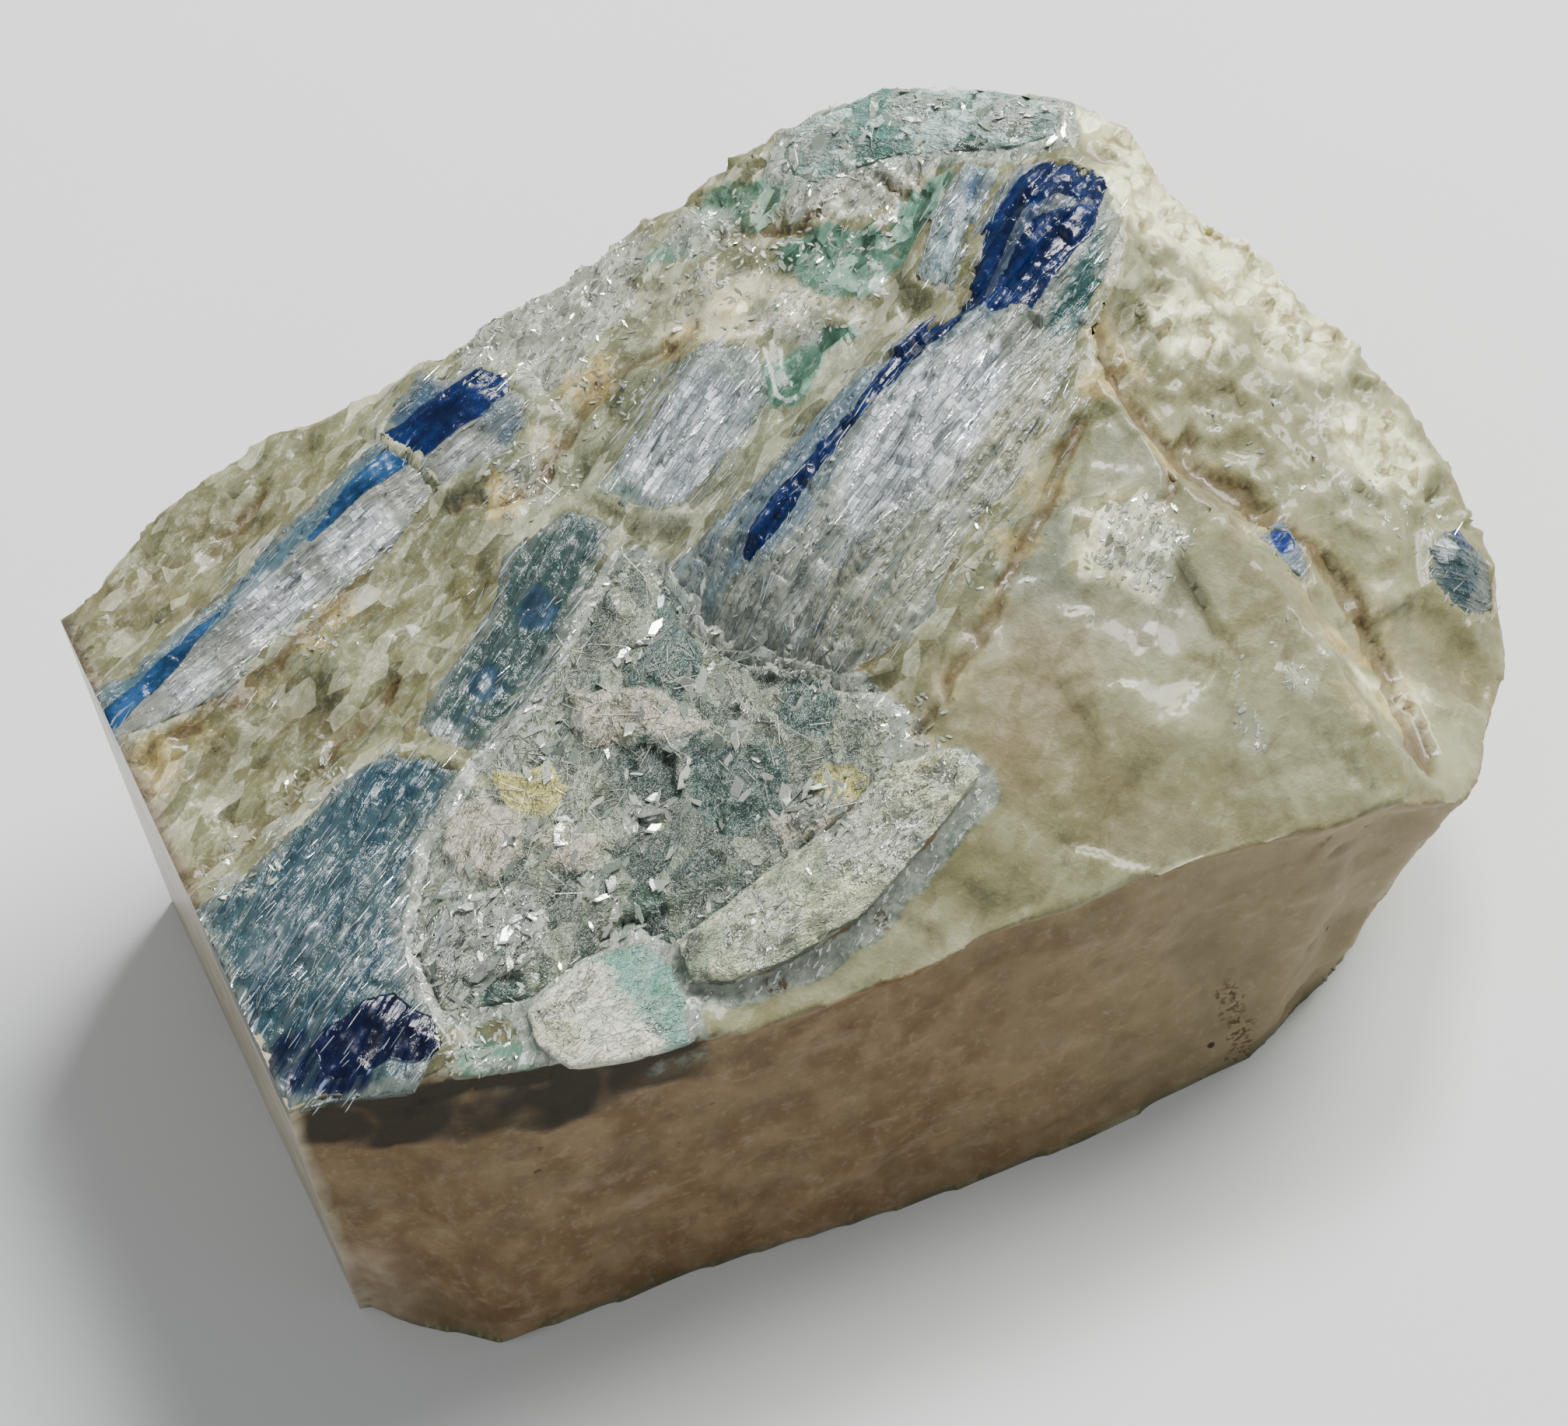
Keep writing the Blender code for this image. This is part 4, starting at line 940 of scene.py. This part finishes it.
def mica_finish(name, grain, light, dark, deep, sparkle=1.0, sheets=1.0):
    f = Finish(name, 0.35, 0.7, 1.6)
    turn = math.radians(grain)
    place = f.place()
    cloud = f.noise(place, 0.40, 4.0, 0.6)
    fine = f.noise(f.place(scale=(0.4, 1.0, 1.0), turn=turn), 2.0, 4.0, 0.7)
    shine = (f.painted("white") + 1.2 * (cloud - 0.5)).between(0.30, 0.85)
    color = f.mix((f.painted("body") + 0.9 * (cloud - 0.5)).between(0.25, 0.7), light, dark)
    color = f.mix((f.painted("core") + 0.8 * (fine - 0.5)).between(0.35, 0.75), color, deep)
    plate_place = f.place(scale=(0.55, 1.0, 0.7), turn=turn)
    plate = f.cells(plate_place, 0.42, out="Color")
    plate = f.node("ShaderNodeSeparateColor", {}, {"Color": plate})
    color = f.mix(plate.between(0.45, 0.85, 0.0, 0.75 * sheets), color, deep)
    color = f.mix(plate.between(0.4, 0.1, 0.0, 0.65 * sheets), color, light)
    small = f.cells(f.place(scale=(0.6, 1.0, 0.8), turn=turn + 0.6), 1.0, out="Color")
    small = f.node("ShaderNodeSeparateColor", {}, {"Color": small})
    color = f.mix(small.between(0.60, 0.9, 0.0, 0.70 * sheets), color, deep)
    color = f.mix(small.between(0.38, 0.1, 0.0, 0.80 * sheets), color, tuple(min(1.0, 1.7 * c) for c in light))
    color = f.mix(fine.between(0.47, 0.30, 0.0, 0.35), color, deep)
    # Painted shade in the hollows between the chips.
    color = f.mix(f.painted("low") * 0.6, color, deep)
    color = f.mix(f.painted("teal"), color, f.mix(fine.between(0.4, 0.7), (0.022, 0.058, 0.052), (0.085, 0.15, 0.13)))
    color = f.mix(f.painted("cream"), color, f.mix(fine.between(0.35, 0.6), (0.34, 0.31, 0.21), (0.56, 0.53, 0.42)))
    color = f.mix((f.painted("stain") + 0.6 * (fine - 0.5)).between(0.35, 0.8), color, (0.56, 0.52, 0.16))
    tangle = f.fibres(place, 1.1, 0.022) * 0.7 + f.fibres(f.place(scale=(0.4, 1.3, 1.0), turn=turn), 1.9, 0.03) * 0.8
    tangle = (tangle * cloud.between(0.3, 0.55, 0.5, 1.0)).between(0.0, 1.0)
    color = f.mix(tangle * 0.22, color, (0.62, 0.65, 0.56))
    # White dashes: partly silvery mica, partly painted glints.
    dash = f.dashes(2.6, turn, 2.2, 0.6) * (0.9 * shine + 0.05) * sparkle
    color = f.mix(shine * 0.5 * sparkle, color, (0.50, 0.54, 0.47))
    color = f.mix(dash, color, (0.88, 0.90, 0.85))
    f.set("Base Color", color)
    f.set("Metallic", (dash * 0.7 + 0.45 * shine * small.between(0.35, 0.1)).between(0.0, 1.0))
    f.set("Roughness", cloud.between(0.3, 0.7, 0.18, 0.40))
    tilted = f.glints(plate_place, 0.42, 0.6, 0.6 + 0.4 * shine)
    tilted = f.glints(f.place(scale=(0.6, 1.0, 0.8), turn=turn + 0.6), 1.0, 0.8, 0.5 + 0.5 * shine, tilted)
    tilted = f.glints(f.place(scale=(0.7, 1.2, 1.0), turn=turn), 2.2, 0.9, 0.35 + 0.65 * shine, tilted)
    f.set("Normal", f.bump(fine + 0.4 * tangle + 0.4 * dash, 0.45, 1.0, tilted))
    return f


# %% The mica mass between the blades
# Each plate: its kind, how far it stands out in mm, and its outline seen from above.
# The deep plates are sunk and painted dark green: partly dark mica, partly painted shade in the hollows.
PLATES = [
    ("teal", -0.10, [(-8.6, -8.2), (-3.9, -12.0), (-4.8, -15.5), (-8.9, -15.4), (-10.4, -12.5)]),
    ("cream", 0.30, [(-13.4, -2.2), (-8.4, -5.2), (-6.7, -8.6), (-10.1, -7.8), (-14.2, -6.3)]),
    ("teal", 0.10, [(-5.0, 2.2), (-4.6, -2.6), (-5.9, -5.3), (-10.2, -3.8)]),
    ("teal", 0.15, [(-1.1, -7.0), (0.8, -10.7), (-1.7, -12.7), (-3.4, -10.0)]),
    ("deep", -0.30, [(-12.3, -7.2), (-9.6, -8.8), (-10.4, -12.1), (-12.8, -11.5), (-13.4, -10.0)]),
    ("cream", 0.45, [(-22.3, -6.2), (-20.5, -6.4), (-19.3, -8.2), (-19.3, -10.2), (-20.0, -11.5), (-22.3, -12.1),
                     (-23.8, -10.8), (-24.1, -8.7)]),
    ("yellow", 0.10, [(-19.6, -5.5), (-16.2, -6.6), (-16.1, -8.6), (-17.2, -9.7), (-19.3, -8.6)]),
    ("cream", 0.35, [(-18.5, -10.1), (-16.5, -10.8), (-15.6, -12.9), (-17.5, -13.7), (-19.3, -12.7)]),
    ("deep", -0.55, [(-18.5, -17.4), (-15.7, -17.1), (-13.6, -17.4), (-10.3, -17.5), (-9.9, -18.2), (-14.2, -18.9),
                     (-16.0, -18.7)]),
    ("deep", -0.40, [(-20.3, -14.3), (-18.7, -14.1), (-18.9, -14.8), (-20.0, -14.9)]),
    ("silver", 0.25, [(-27.9, -11.8), (-23.5, -12.2), (-20.6, -13.3), (-20.5, -16.4), (-22.9, -18.4), (-27.0, -16.5),
                      (-29.5, -14.4)]),
    ("teal", 0.0, [(-25.6, -17.6), (-22.9, -18.4), (-23.4, -21.5), (-26.2, -21.0)]),
    ("silver", 0.35, [(-14.0, -11.3), (-12.2, -11.1), (-11.1, -12.4), (-12.5, -12.7)]),
    ("cream", 0.30, [(-6.6, -15.4), (-2.3, -15.4), (-1.4, -17.2), (-3.2, -18.2), (-6.4, -17.4)]),
    ("silver", 0.30, [(-5.6, -16.2), (-3.4, -15.8), (-3.2, -16.8), (-5.2, -17.2)]),
    ("silver", 0.45, [(-4.2, -1.9), (-2.6, -5.0), (0.1, -7.7), (1.5, -9.6), (0.3, -9.9), (-3.3, -6.4), (-5.0, -3.4)]),
    ("silver", 0.30, [(-5.2, -7.1), (-3.3, -10.4), (-3.1, -12.5), (-4.8, -9.8)]),
    ("deep", -0.35, [(-5.4, 0.8), (-4.6, -1.4), (-5.0, -3.6), (-5.8, -1.6)]),
]


def plated(piece, points, plates):
    """Paints plates on a piece of mica and raises them, each laid over the ones before it."""
    kinds = {kind: np.zeros(len(points)) for kind in ("teal", "cream", "deep", "silver", "yellow")}
    drawn = warped(warped(points, 1.6, 0.45), 0.5, 0.22)
    for number, (kind, tall, outline) in enumerate(plates):
        depth = depth_in(drawn, outline)
        share = smoothstep(-0.15, 0.15, depth)
        for other in kinds.values():
            other *= 1.0 - share
        kinds[kind] += share
        middle = np.mean(outline, axis=0)
        slope = 0.08 * math.cos(2.4 * number) * (points[:, 0] - middle[0]) + \
            0.08 * math.sin(2.4 * number) * (points[:, 1] - middle[1])
        points[:, 2] += (tall + slope) * smoothstep(-0.1, 0.3, depth)
    move_points(piece, np.clip(points, low_corner, high_corner))
    return kinds


mica_heap, points = heaped("mica_heap", "mica_mass", 36.0, 0.26, 0.26, 11.0)
kinds = plated(mica_heap, points, PLATES)
seen = warped(points, 2.2, 0.8)
paint(mica_heap, "teal", kinds["teal"] * 0.95)
paint(mica_heap, "cream", kinds["cream"] * 0.85)
paint(mica_heap, "white", np.maximum(kinds["silver"] * 1.1, 0.25 * kinds["cream"]))
paint(mica_heap, "body", 0.3 + 0.4 * spots(seen, [(-9.0, -5.0, 5.0, 1.0), (-13.0, -17.6, 5.0, 1.0)]))
paint(mica_heap, "core", kinds["deep"])
paint(mica_heap, "stain", np.maximum(kinds["yellow"], spots(seen, [(-2.0, -15.6, 2.4, 0.7), (-20.2, -5.4, 1.4, 0.5)])))
dress(mica_heap, mica_finish("green_mica_heap", 36.0, (0.25, 0.285, 0.205), (0.055, 0.115, 0.088), (0.008, 0.032, 0.024)),
      "green_mica", "mica_mass")

# %% The ledge, the shell and the cap of mica
fibrous_ledge, points = heaped("mica_fibrous_ledge", "mica_ledge", 12.0, 0.22, 0.42, 12.0)
seen = warped(points, 2.0, 0.5)
paint(fibrous_ledge, "white", spots(seen, [(-10.0, -21.6, 4.0, 0.7), (-2.0, -19.6, 4.5, 0.8), (3.4, -18.0, 2.4, 0.7)]))
paint(fibrous_ledge, "body", spots(seen, [(-6.0, -19.6, 3.4, 0.6), (-13.4, -21.4, 2.4, 0.9)]))
# Painted shade: the ledge's steep walls take its deep colour.
shaded_wall = 1.0 - smoothstep(0.1, 0.5, normals_of(fibrous_ledge)[:, 2])
paint(fibrous_ledge, "core", np.maximum(shaded_wall, spots(seen, [(-14.2, -20.6, 1.6, 0.8), (-5.0, -23.4, 3.0, 0.25)])))
paint(fibrous_ledge, "stain", spots(seen, [(3.0, -17.4, 1.6, 0.6)]))
dress(fibrous_ledge, mica_finish("pale_mica_ledge", 12.0, (0.66, 0.69, 0.44), (0.34, 0.40, 0.26), (0.07, 0.10, 0.06), 1.0,
                                  0.5),
      "pale_mica", "mica_ledge")

mica_lens, points = heaped("mica_lens", "mica_shell", 10.0, 0.2, 0.10, 13.0)
seen = warped(points, 2.0, 0.5)
paint(mica_lens, "white", spots(seen, [(-20.6, -21.6, 3.6, 0.9), (-18.0, -23.4, 2.8, 0.7)]))
paint(mica_lens, "body", smoothstep(-20.6, -16.6, seen[:, 0] + 0.25 * (seen[:, 1] + 21.0)))
paint(mica_lens, "core", spots(seen, [(-15.4, -19.4, 1.6, 0.6)]))
paint(mica_lens, "stain", spots(seen, [(-22.4, -22.8, 2.0, 0.5)]))
dress(mica_lens, mica_finish("pale_mica_lens", 10.0, (0.84, 0.84, 0.66), (0.13, 0.33, 0.26), (0.06, 0.17, 0.12), 0.25,
                              0.15),
      "pale_mica", "mica_shell")

mica_crest, points = heaped("mica_crest", "mica_cap", -36.0, 0.24, 0.26, 14.0)
seen = warped(points, 2.4, 0.8)
paint(mica_crest, "white", spots(seen, [(16.0, 25.0, 3.0, 0.6), (22.0, 24.0, 2.8, 0.8), (26.6, 20.4, 3.0, 0.8)]))
paint(mica_crest, "body", 1.05 * spots(seen, [(19.0, 25.0, 6.0, 1.0), (26.0, 20.6, 4.0, 0.8)]))
paint(mica_crest, "core", spots(seen, [(15.0, 26.8, 3.4, 0.7), (24.0, 22.6, 1.8, 0.5)]))
paint(mica_crest, "stain", 0.0 * points[:, 0])
dress(mica_crest, mica_finish("green_mica_crest", -36.0, (0.44, 0.62, 0.56), (0.06, 0.24, 0.19), (0.012, 0.060, 0.048)),
      "green_mica", "mica_cap")

# %% [markdown]
# ## Loose flakes and needles
#
# Over the mica lie thousands of thin flakes and fine needles that catch the light one by one. One flake and
# one needle are modelled, then copied with a turn, a size and a place of their own. Each copy is
# dropped onto the surface below it by a ray, so that none hangs in the air.

# %% One flake and one needle, modelled once
def shape_of(piece):
    """The points and faces of a small model, which is then taken away."""
    points = np.array([v.co[:] for v in piece.data.vertices])
    faces = [list(p.vertices) for p in piece.data.polygons]
    mesh = piece.data
    bpy.data.objects.remove(piece)
    bpy.data.meshes.remove(mesh)
    return points, faces


bpy.ops.mesh.primitive_circle_add(vertices=5, radius=0.5, fill_type="NGON", location=(0.0, 0.0, 0.0))
bpy.ops.object.mode_set(mode="EDIT")
bpy.ops.mesh.select_all(action="SELECT")
bpy.ops.mesh.extrude_region_move(TRANSFORM_OT_translate={"value": (0.0, 0.0, 1.0)})
bpy.ops.transform.resize(value=(0.86, 0.9, 1.0))
bpy.ops.transform.translate(value=(0.05, 0.02, 0.0))
bpy.ops.mesh.select_all(action="SELECT")
bpy.ops.mesh.normals_make_consistent(inside=False)
bpy.ops.object.mode_set(mode="OBJECT")
FLAKE = shape_of(bpy.context.active_object)

bpy.ops.mesh.primitive_cylinder_add(vertices=3, radius=0.5, depth=1.0, rotation=(0.0, math.pi / 2.0, 0.0))
bpy.ops.object.transform_apply(location=True, rotation=True, scale=True)
NEEDLE = shape_of(bpy.context.active_object)
print("a flake has", len(FLAKE[1]), "faces and a needle", len(NEEDLE[1]))

# %% Scattering copies over the pieces below
depsgraph = bpy.context.evaluated_depsgraph_get()
grounds = {}
for piece in (block, main_blade, back_blade, back_tip, front_blade, silver_blade, teal_blade, clear_blade,
              end_stub, blue_chip, mica_heap, fibrous_ledge, mica_lens, mica_crest):
    grounds[piece.name] = BVHTree.FromObject(piece, depsgraph)


def ground_at(x, y):
    """The highest place and its normal on the finished pieces, in millimetres."""
    best, facing = None, None
    for ground in grounds.values():
        place, normal, _, _ = ground.ray_cast(Vector((x * MM, y * MM, 0.06)), down)
        if place is not None and (best is None or place.z > best.z):
            best, facing = place, normal
    return (best / MM, facing) if best is not None else (None, None)


def round_places(areas, share, seed):
    """Random places in round areas (x, y, radius, how many)."""
    rng = random.Random(seed)
    places = []
    for x, y, radius, count in areas:
        for _ in range(int(share * count)):
            away, angle = radius * math.sqrt(rng.random()), rng.uniform(0.0, 2.0 * math.pi)
            places.append((x + away * math.cos(angle), y + away * math.sin(angle)))
    return places


def border_places(nodes, per_mm, spread, seed):
    """Random places along the borders of crystals."""
    rng = random.Random(seed)
    places = []
    for node in nodes:
        for ax, ay, bx, by in border_of(node):
            for _ in range(int(per_mm * math.hypot(bx - ax, by - ay) + rng.random())):
                share = rng.random()
                places.append((ax + (bx - ax) * share + rng.gauss(0.0, spread),
                               ay + (by - ay) * share + rng.gauss(0.0, spread)))
    return places


def scatter(name, shape, places, lengths, width, thickness, direction, spread, tilt, seed, sunk=0.3):
    """Copies of a shape, one at each of these places, on the surface below it."""
    rng = random.Random(seed)
    base, faces = shape
    verts, polygons, tones = [], [], []
    for x, y in places:
        place, normal = ground_at(x, y)
        if place is None or normal.z < 0.5 or place.z < 15.0:
            continue
        lean = Vector([rng.gauss(0.0, tilt) for _ in range(3)])
        z_axis = (normal + lean).normalized()
        heading = math.radians(direction) + rng.gauss(0.0, spread)
        x_axis = Vector((math.cos(heading), math.sin(heading), 0.0))
        x_axis = (x_axis - z_axis * x_axis.dot(z_axis)).normalized()
        y_axis = z_axis.cross(x_axis)
        long = rng.uniform(*lengths) * rng.uniform(0.6, 1.0)
        wide = long * width if width < 1.0 else thickness
        axes = np.array([x_axis * long, y_axis * wide * rng.uniform(0.6, 1.2), z_axis * thickness])
        first = len(verts)
        centre = np.array(place + z_axis * thickness * (0.5 - sunk))
        verts += list(np.clip(base @ axes + centre, low_corner, high_corner) * MM)
        polygons += [[first + i for i in face] for face in faces]
        tones += [rng.random()] * len(base)
    mesh = bpy.data.meshes.new(name)
    mesh.from_pydata(verts, [], polygons)
    piece = bpy.data.objects.new(name, mesh)
    bpy.context.scene.collection.objects.link(piece)
    paint(piece, "tone", tones)
    print("%s: %d faces" % (name, len(polygons)))
    return piece


def flake_finish(name, light, dark, metal, rough):
    f = Finish(name, rough, 0.6, 1.6)
    tone = f.painted("tone")
    fine = f.noise(f.place(), 3.0, 3.0)
    color = f.mix((tone + 0.4 * (fine - 0.5)).between(0.2, 0.8), dark, light)
    f.set("Base Color", color)
    f.set("Metallic", tone.between(0.4, 1.0, 0.0, metal))
    f.set("Roughness", fine.between(0.3, 0.7, rough * 0.7, rough * 1.3))
    f.set("Normal", f.bump(fine, 0.08, 0.6))
    return f


# %% Flakes, splinters and needles on the stone
MICA_AREAS = [
    (-24.5, -14.8, 4.2, 130), (-4.0, -16.4, 2.4, 45), (-12.6, -11.8, 1.5, 20), (-1.6, -7.4, 3.0, 40),
    (-16.0, -15.8, 2.6, 45), (-10.0, -8.0, 8.0, 90), (-18.6, -11.6, 2.4, 30), (17.0, 25.0, 3.6, 30),
    (23.0, 22.6, 4.0, 40), (27.6, 19.0, 2.8, 30), (-6.0, -3.0, 4.0, 40), (-14.0, -4.0, 4.0, 40),
]
STONE_AREAS = [
    (-27.0, -20.6, 2.4, 160), (-8.0, -21.0, 3.0, 60), (0.0, -18.6, 3.4, 60), (15.0, 20.0, 4.0, 240),
    (8.0, 22.0, 4.0, 200), (0.0, 23.0, 4.0, 200), (-6.6, 22.0, 4.0, 220), (12.0, 15.6, 3.6, 140),
    (5.0, 18.0, 3.2, 100), (-3.0, 16.0, 3.4, 120), (-9.4, 12.6, 3.0, 120), (-24.0, 9.0, 2.4, 60),
    (-34.4, -3.8, 2.6, 120), (-28.6, -0.6, 2.0, 60), (3.0, -14.6, 2.4, 80), (12.6, -7.4, 3.0, 50),
    (20.0, -10.0, 3.4, 130), (37.6, -10.0, 3.0, 90), (31.6, -4.0, 4.0, 30), (24.0, -20.0, 4.0, 20),
]
MICA_NODES = ["mica_mass", "mica_ledge", "mica_shell", "mica_cap"]
BLADE_NODES = [node for node in crystal_nodes if node not in MICA_NODES]
places = round_places(MICA_AREAS, 0.8, 31)
mica_flakes = scatter("mica_flakes", FLAKE, places, (0.5, 2.4), 0.36, 0.035, 33.0, 0.7, 0.16, 21, 0.5)
places = round_places(STONE_AREAS, 0.7, 37) + border_places(["mica_mass", "mica_cap"], 4.0, 0.5, 32)
stone_flakes = scatter("stone_flakes", FLAKE, places, (0.25, 1.0), 0.40, 0.03, 33.0, 0.9, 0.14, 24, 0.5)
dress(stone_flakes, flake_finish("stone_flakes", (0.66, 0.69, 0.60), (0.24, 0.27, 0.21), 0.8, 0.22), "green_mica")
dress(mica_flakes, flake_finish("silver_flakes", (0.62, 0.66, 0.58), (0.17, 0.21, 0.17), 0.8, 0.2), "green_mica")

SPLINTER_AREAS = [
    (8.6, -0.6, 6.0, 260), (14.0, 3.0, 4.0, 160), (3.0, -4.0, 4.5, 200), (0.6, 11.0, 4.5, 200), (20.6, 15.4, 2.0, 60),
    (-30.0, -10.0, 6.0, 240), (-33.0, -17.0, 3.6, 50), (-15.0, 3.0, 5.0, 90), (-26.0, 11.0, 6.0, 90),
    (-36.0, -13.0, 3.0, 60), (0.0, 6.4, 2.0, 60), (18.0, 1.0, 4.0, 90),
]
places = round_places(SPLINTER_AREAS, 0.8, 33) + border_places(BLADE_NODES, 2.0, 0.35, 34)
splinters = scatter("blade_splinters", FLAKE, places, (0.6, 2.8), 0.035, 0.03, 31.0, 0.08, 0.06, 22)
dress(splinters, flake_finish("splinter_white", (0.66, 0.71, 0.75), (0.15, 0.20, 0.24), 0.8, 0.22), "pale_kyanite")

NEEDLE_AREAS = [
    (-14.0, -8.0, 5.0, 420), (-6.6, -7.0, 4.0, 300), (-10.6, -1.0, 3.4, 200), (-18.0, -9.0, 3.4, 260),
    (-4.0, -12.0, 4.0, 180), (-20.0, -13.0, 3.6, 140), (-9.4, 12.6, 2.6, 90),
    (22.6, 23.0, 4.0, 90),
]
places = round_places(NEEDLE_AREAS, 0.22, 35) + border_places(["mica_mass", "mica_cap"], 1.2, 0.6, 36)
needles = scatter("fine_needles", NEEDLE, places, (0.8, 3.2), 1.0, 0.045, 20.0, 1.4, 0.06, 23, sunk=0.0)
dress(needles, flake_finish("needle_cream", (0.80, 0.80, 0.70), (0.42, 0.43, 0.35), 0.3, 0.30), "pale_mica")

# %% [markdown]
# ## Floor, light and camera
#
# The stone is shown on a pale sheet. A large soft light stands behind it and a little to the right, where
# the broad blades mirror it towards the camera, and a weaker one fills the front.

# %% The floor
bpy.ops.mesh.primitive_plane_add(size=3.0, location=(0.0, 0.0, 0.0))
floor = bpy.context.active_object
floor.name = "floor_sheet"
sheet = Finish("pale_sheet", 0.8)
sheet.set("Base Color", sheet.mix(sheet.noise(sheet.place(), 0.02), (0.76, 0.78, 0.78), (0.82, 0.84, 0.84)))
floor.data.materials.append(sheet.material)

# %% Lights
def soft_light(name, place, size, power, color):
    lamp = bpy.data.lights.new(name, "AREA")
    lamp.shape = "SQUARE"
    lamp.size = size
    lamp.energy = power
    lamp.color = color
    holder = bpy.data.objects.new(name, lamp)
    holder.location = place
    holder.rotation_euler = (Vector(place) - Vector((0.0, 0.0, 0.02))).to_track_quat("Z", "Y").to_euler()
    bpy.context.scene.collection.objects.link(holder)


soft_light("key_light", (0.62, 0.20, 0.62), 0.35, 11.5, (1.0, 0.985, 0.935))
soft_light("glint_light", (0.34, 0.36, 0.62), 0.18, 6.0, (1.0, 1.0, 1.0))
soft_light("fill_light", (-0.5, -0.5, 0.5), 0.8, 1.2, (0.95, 0.97, 1.0))
world = bpy.data.worlds.new("pale_room")
world.use_nodes = True
world.node_tree.nodes["Background"].inputs["Color"].default_value = (0.96, 0.99, 1.0, 1.0)
world.node_tree.nodes["Background"].inputs["Strength"].default_value = 0.30
bpy.context.scene.world = world

# %% The camera, at the photograph's angle
AZIMUTH = math.radians(-16.2)
ELEVATION = math.radians(55.0)
ROLL = math.radians(10.1)
DISTANCE = 0.300
TARGET = Vector((0.0, 0.0, 0.012))

back = Vector((math.sin(AZIMUTH) * math.cos(ELEVATION), -math.cos(AZIMUTH) * math.cos(ELEVATION),
               math.sin(ELEVATION)))
right = Vector((0.0, 0.0, 1.0)).cross(back).normalized()
up = back.cross(right)
camera_x = right * math.cos(ROLL) - up * math.sin(ROLL)
camera_y = right * math.sin(ROLL) + up * math.cos(ROLL)
lens = bpy.data.cameras.new("camera")
lens.lens = 112.5
lens.sensor_width = 36.0
lens.clip_start = 0.01
camera = bpy.data.objects.new("camera", lens)
from mathutils import Matrix
turn = Matrix((camera_x, camera_y, back)).transposed().to_4x4()
camera.matrix_world = Matrix.Translation(TARGET + back * DISTANCE) @ turn
bpy.context.scene.collection.objects.link(camera)
bpy.context.scene.camera = camera
print("camera at", [round(c, 3) for c in camera.location])
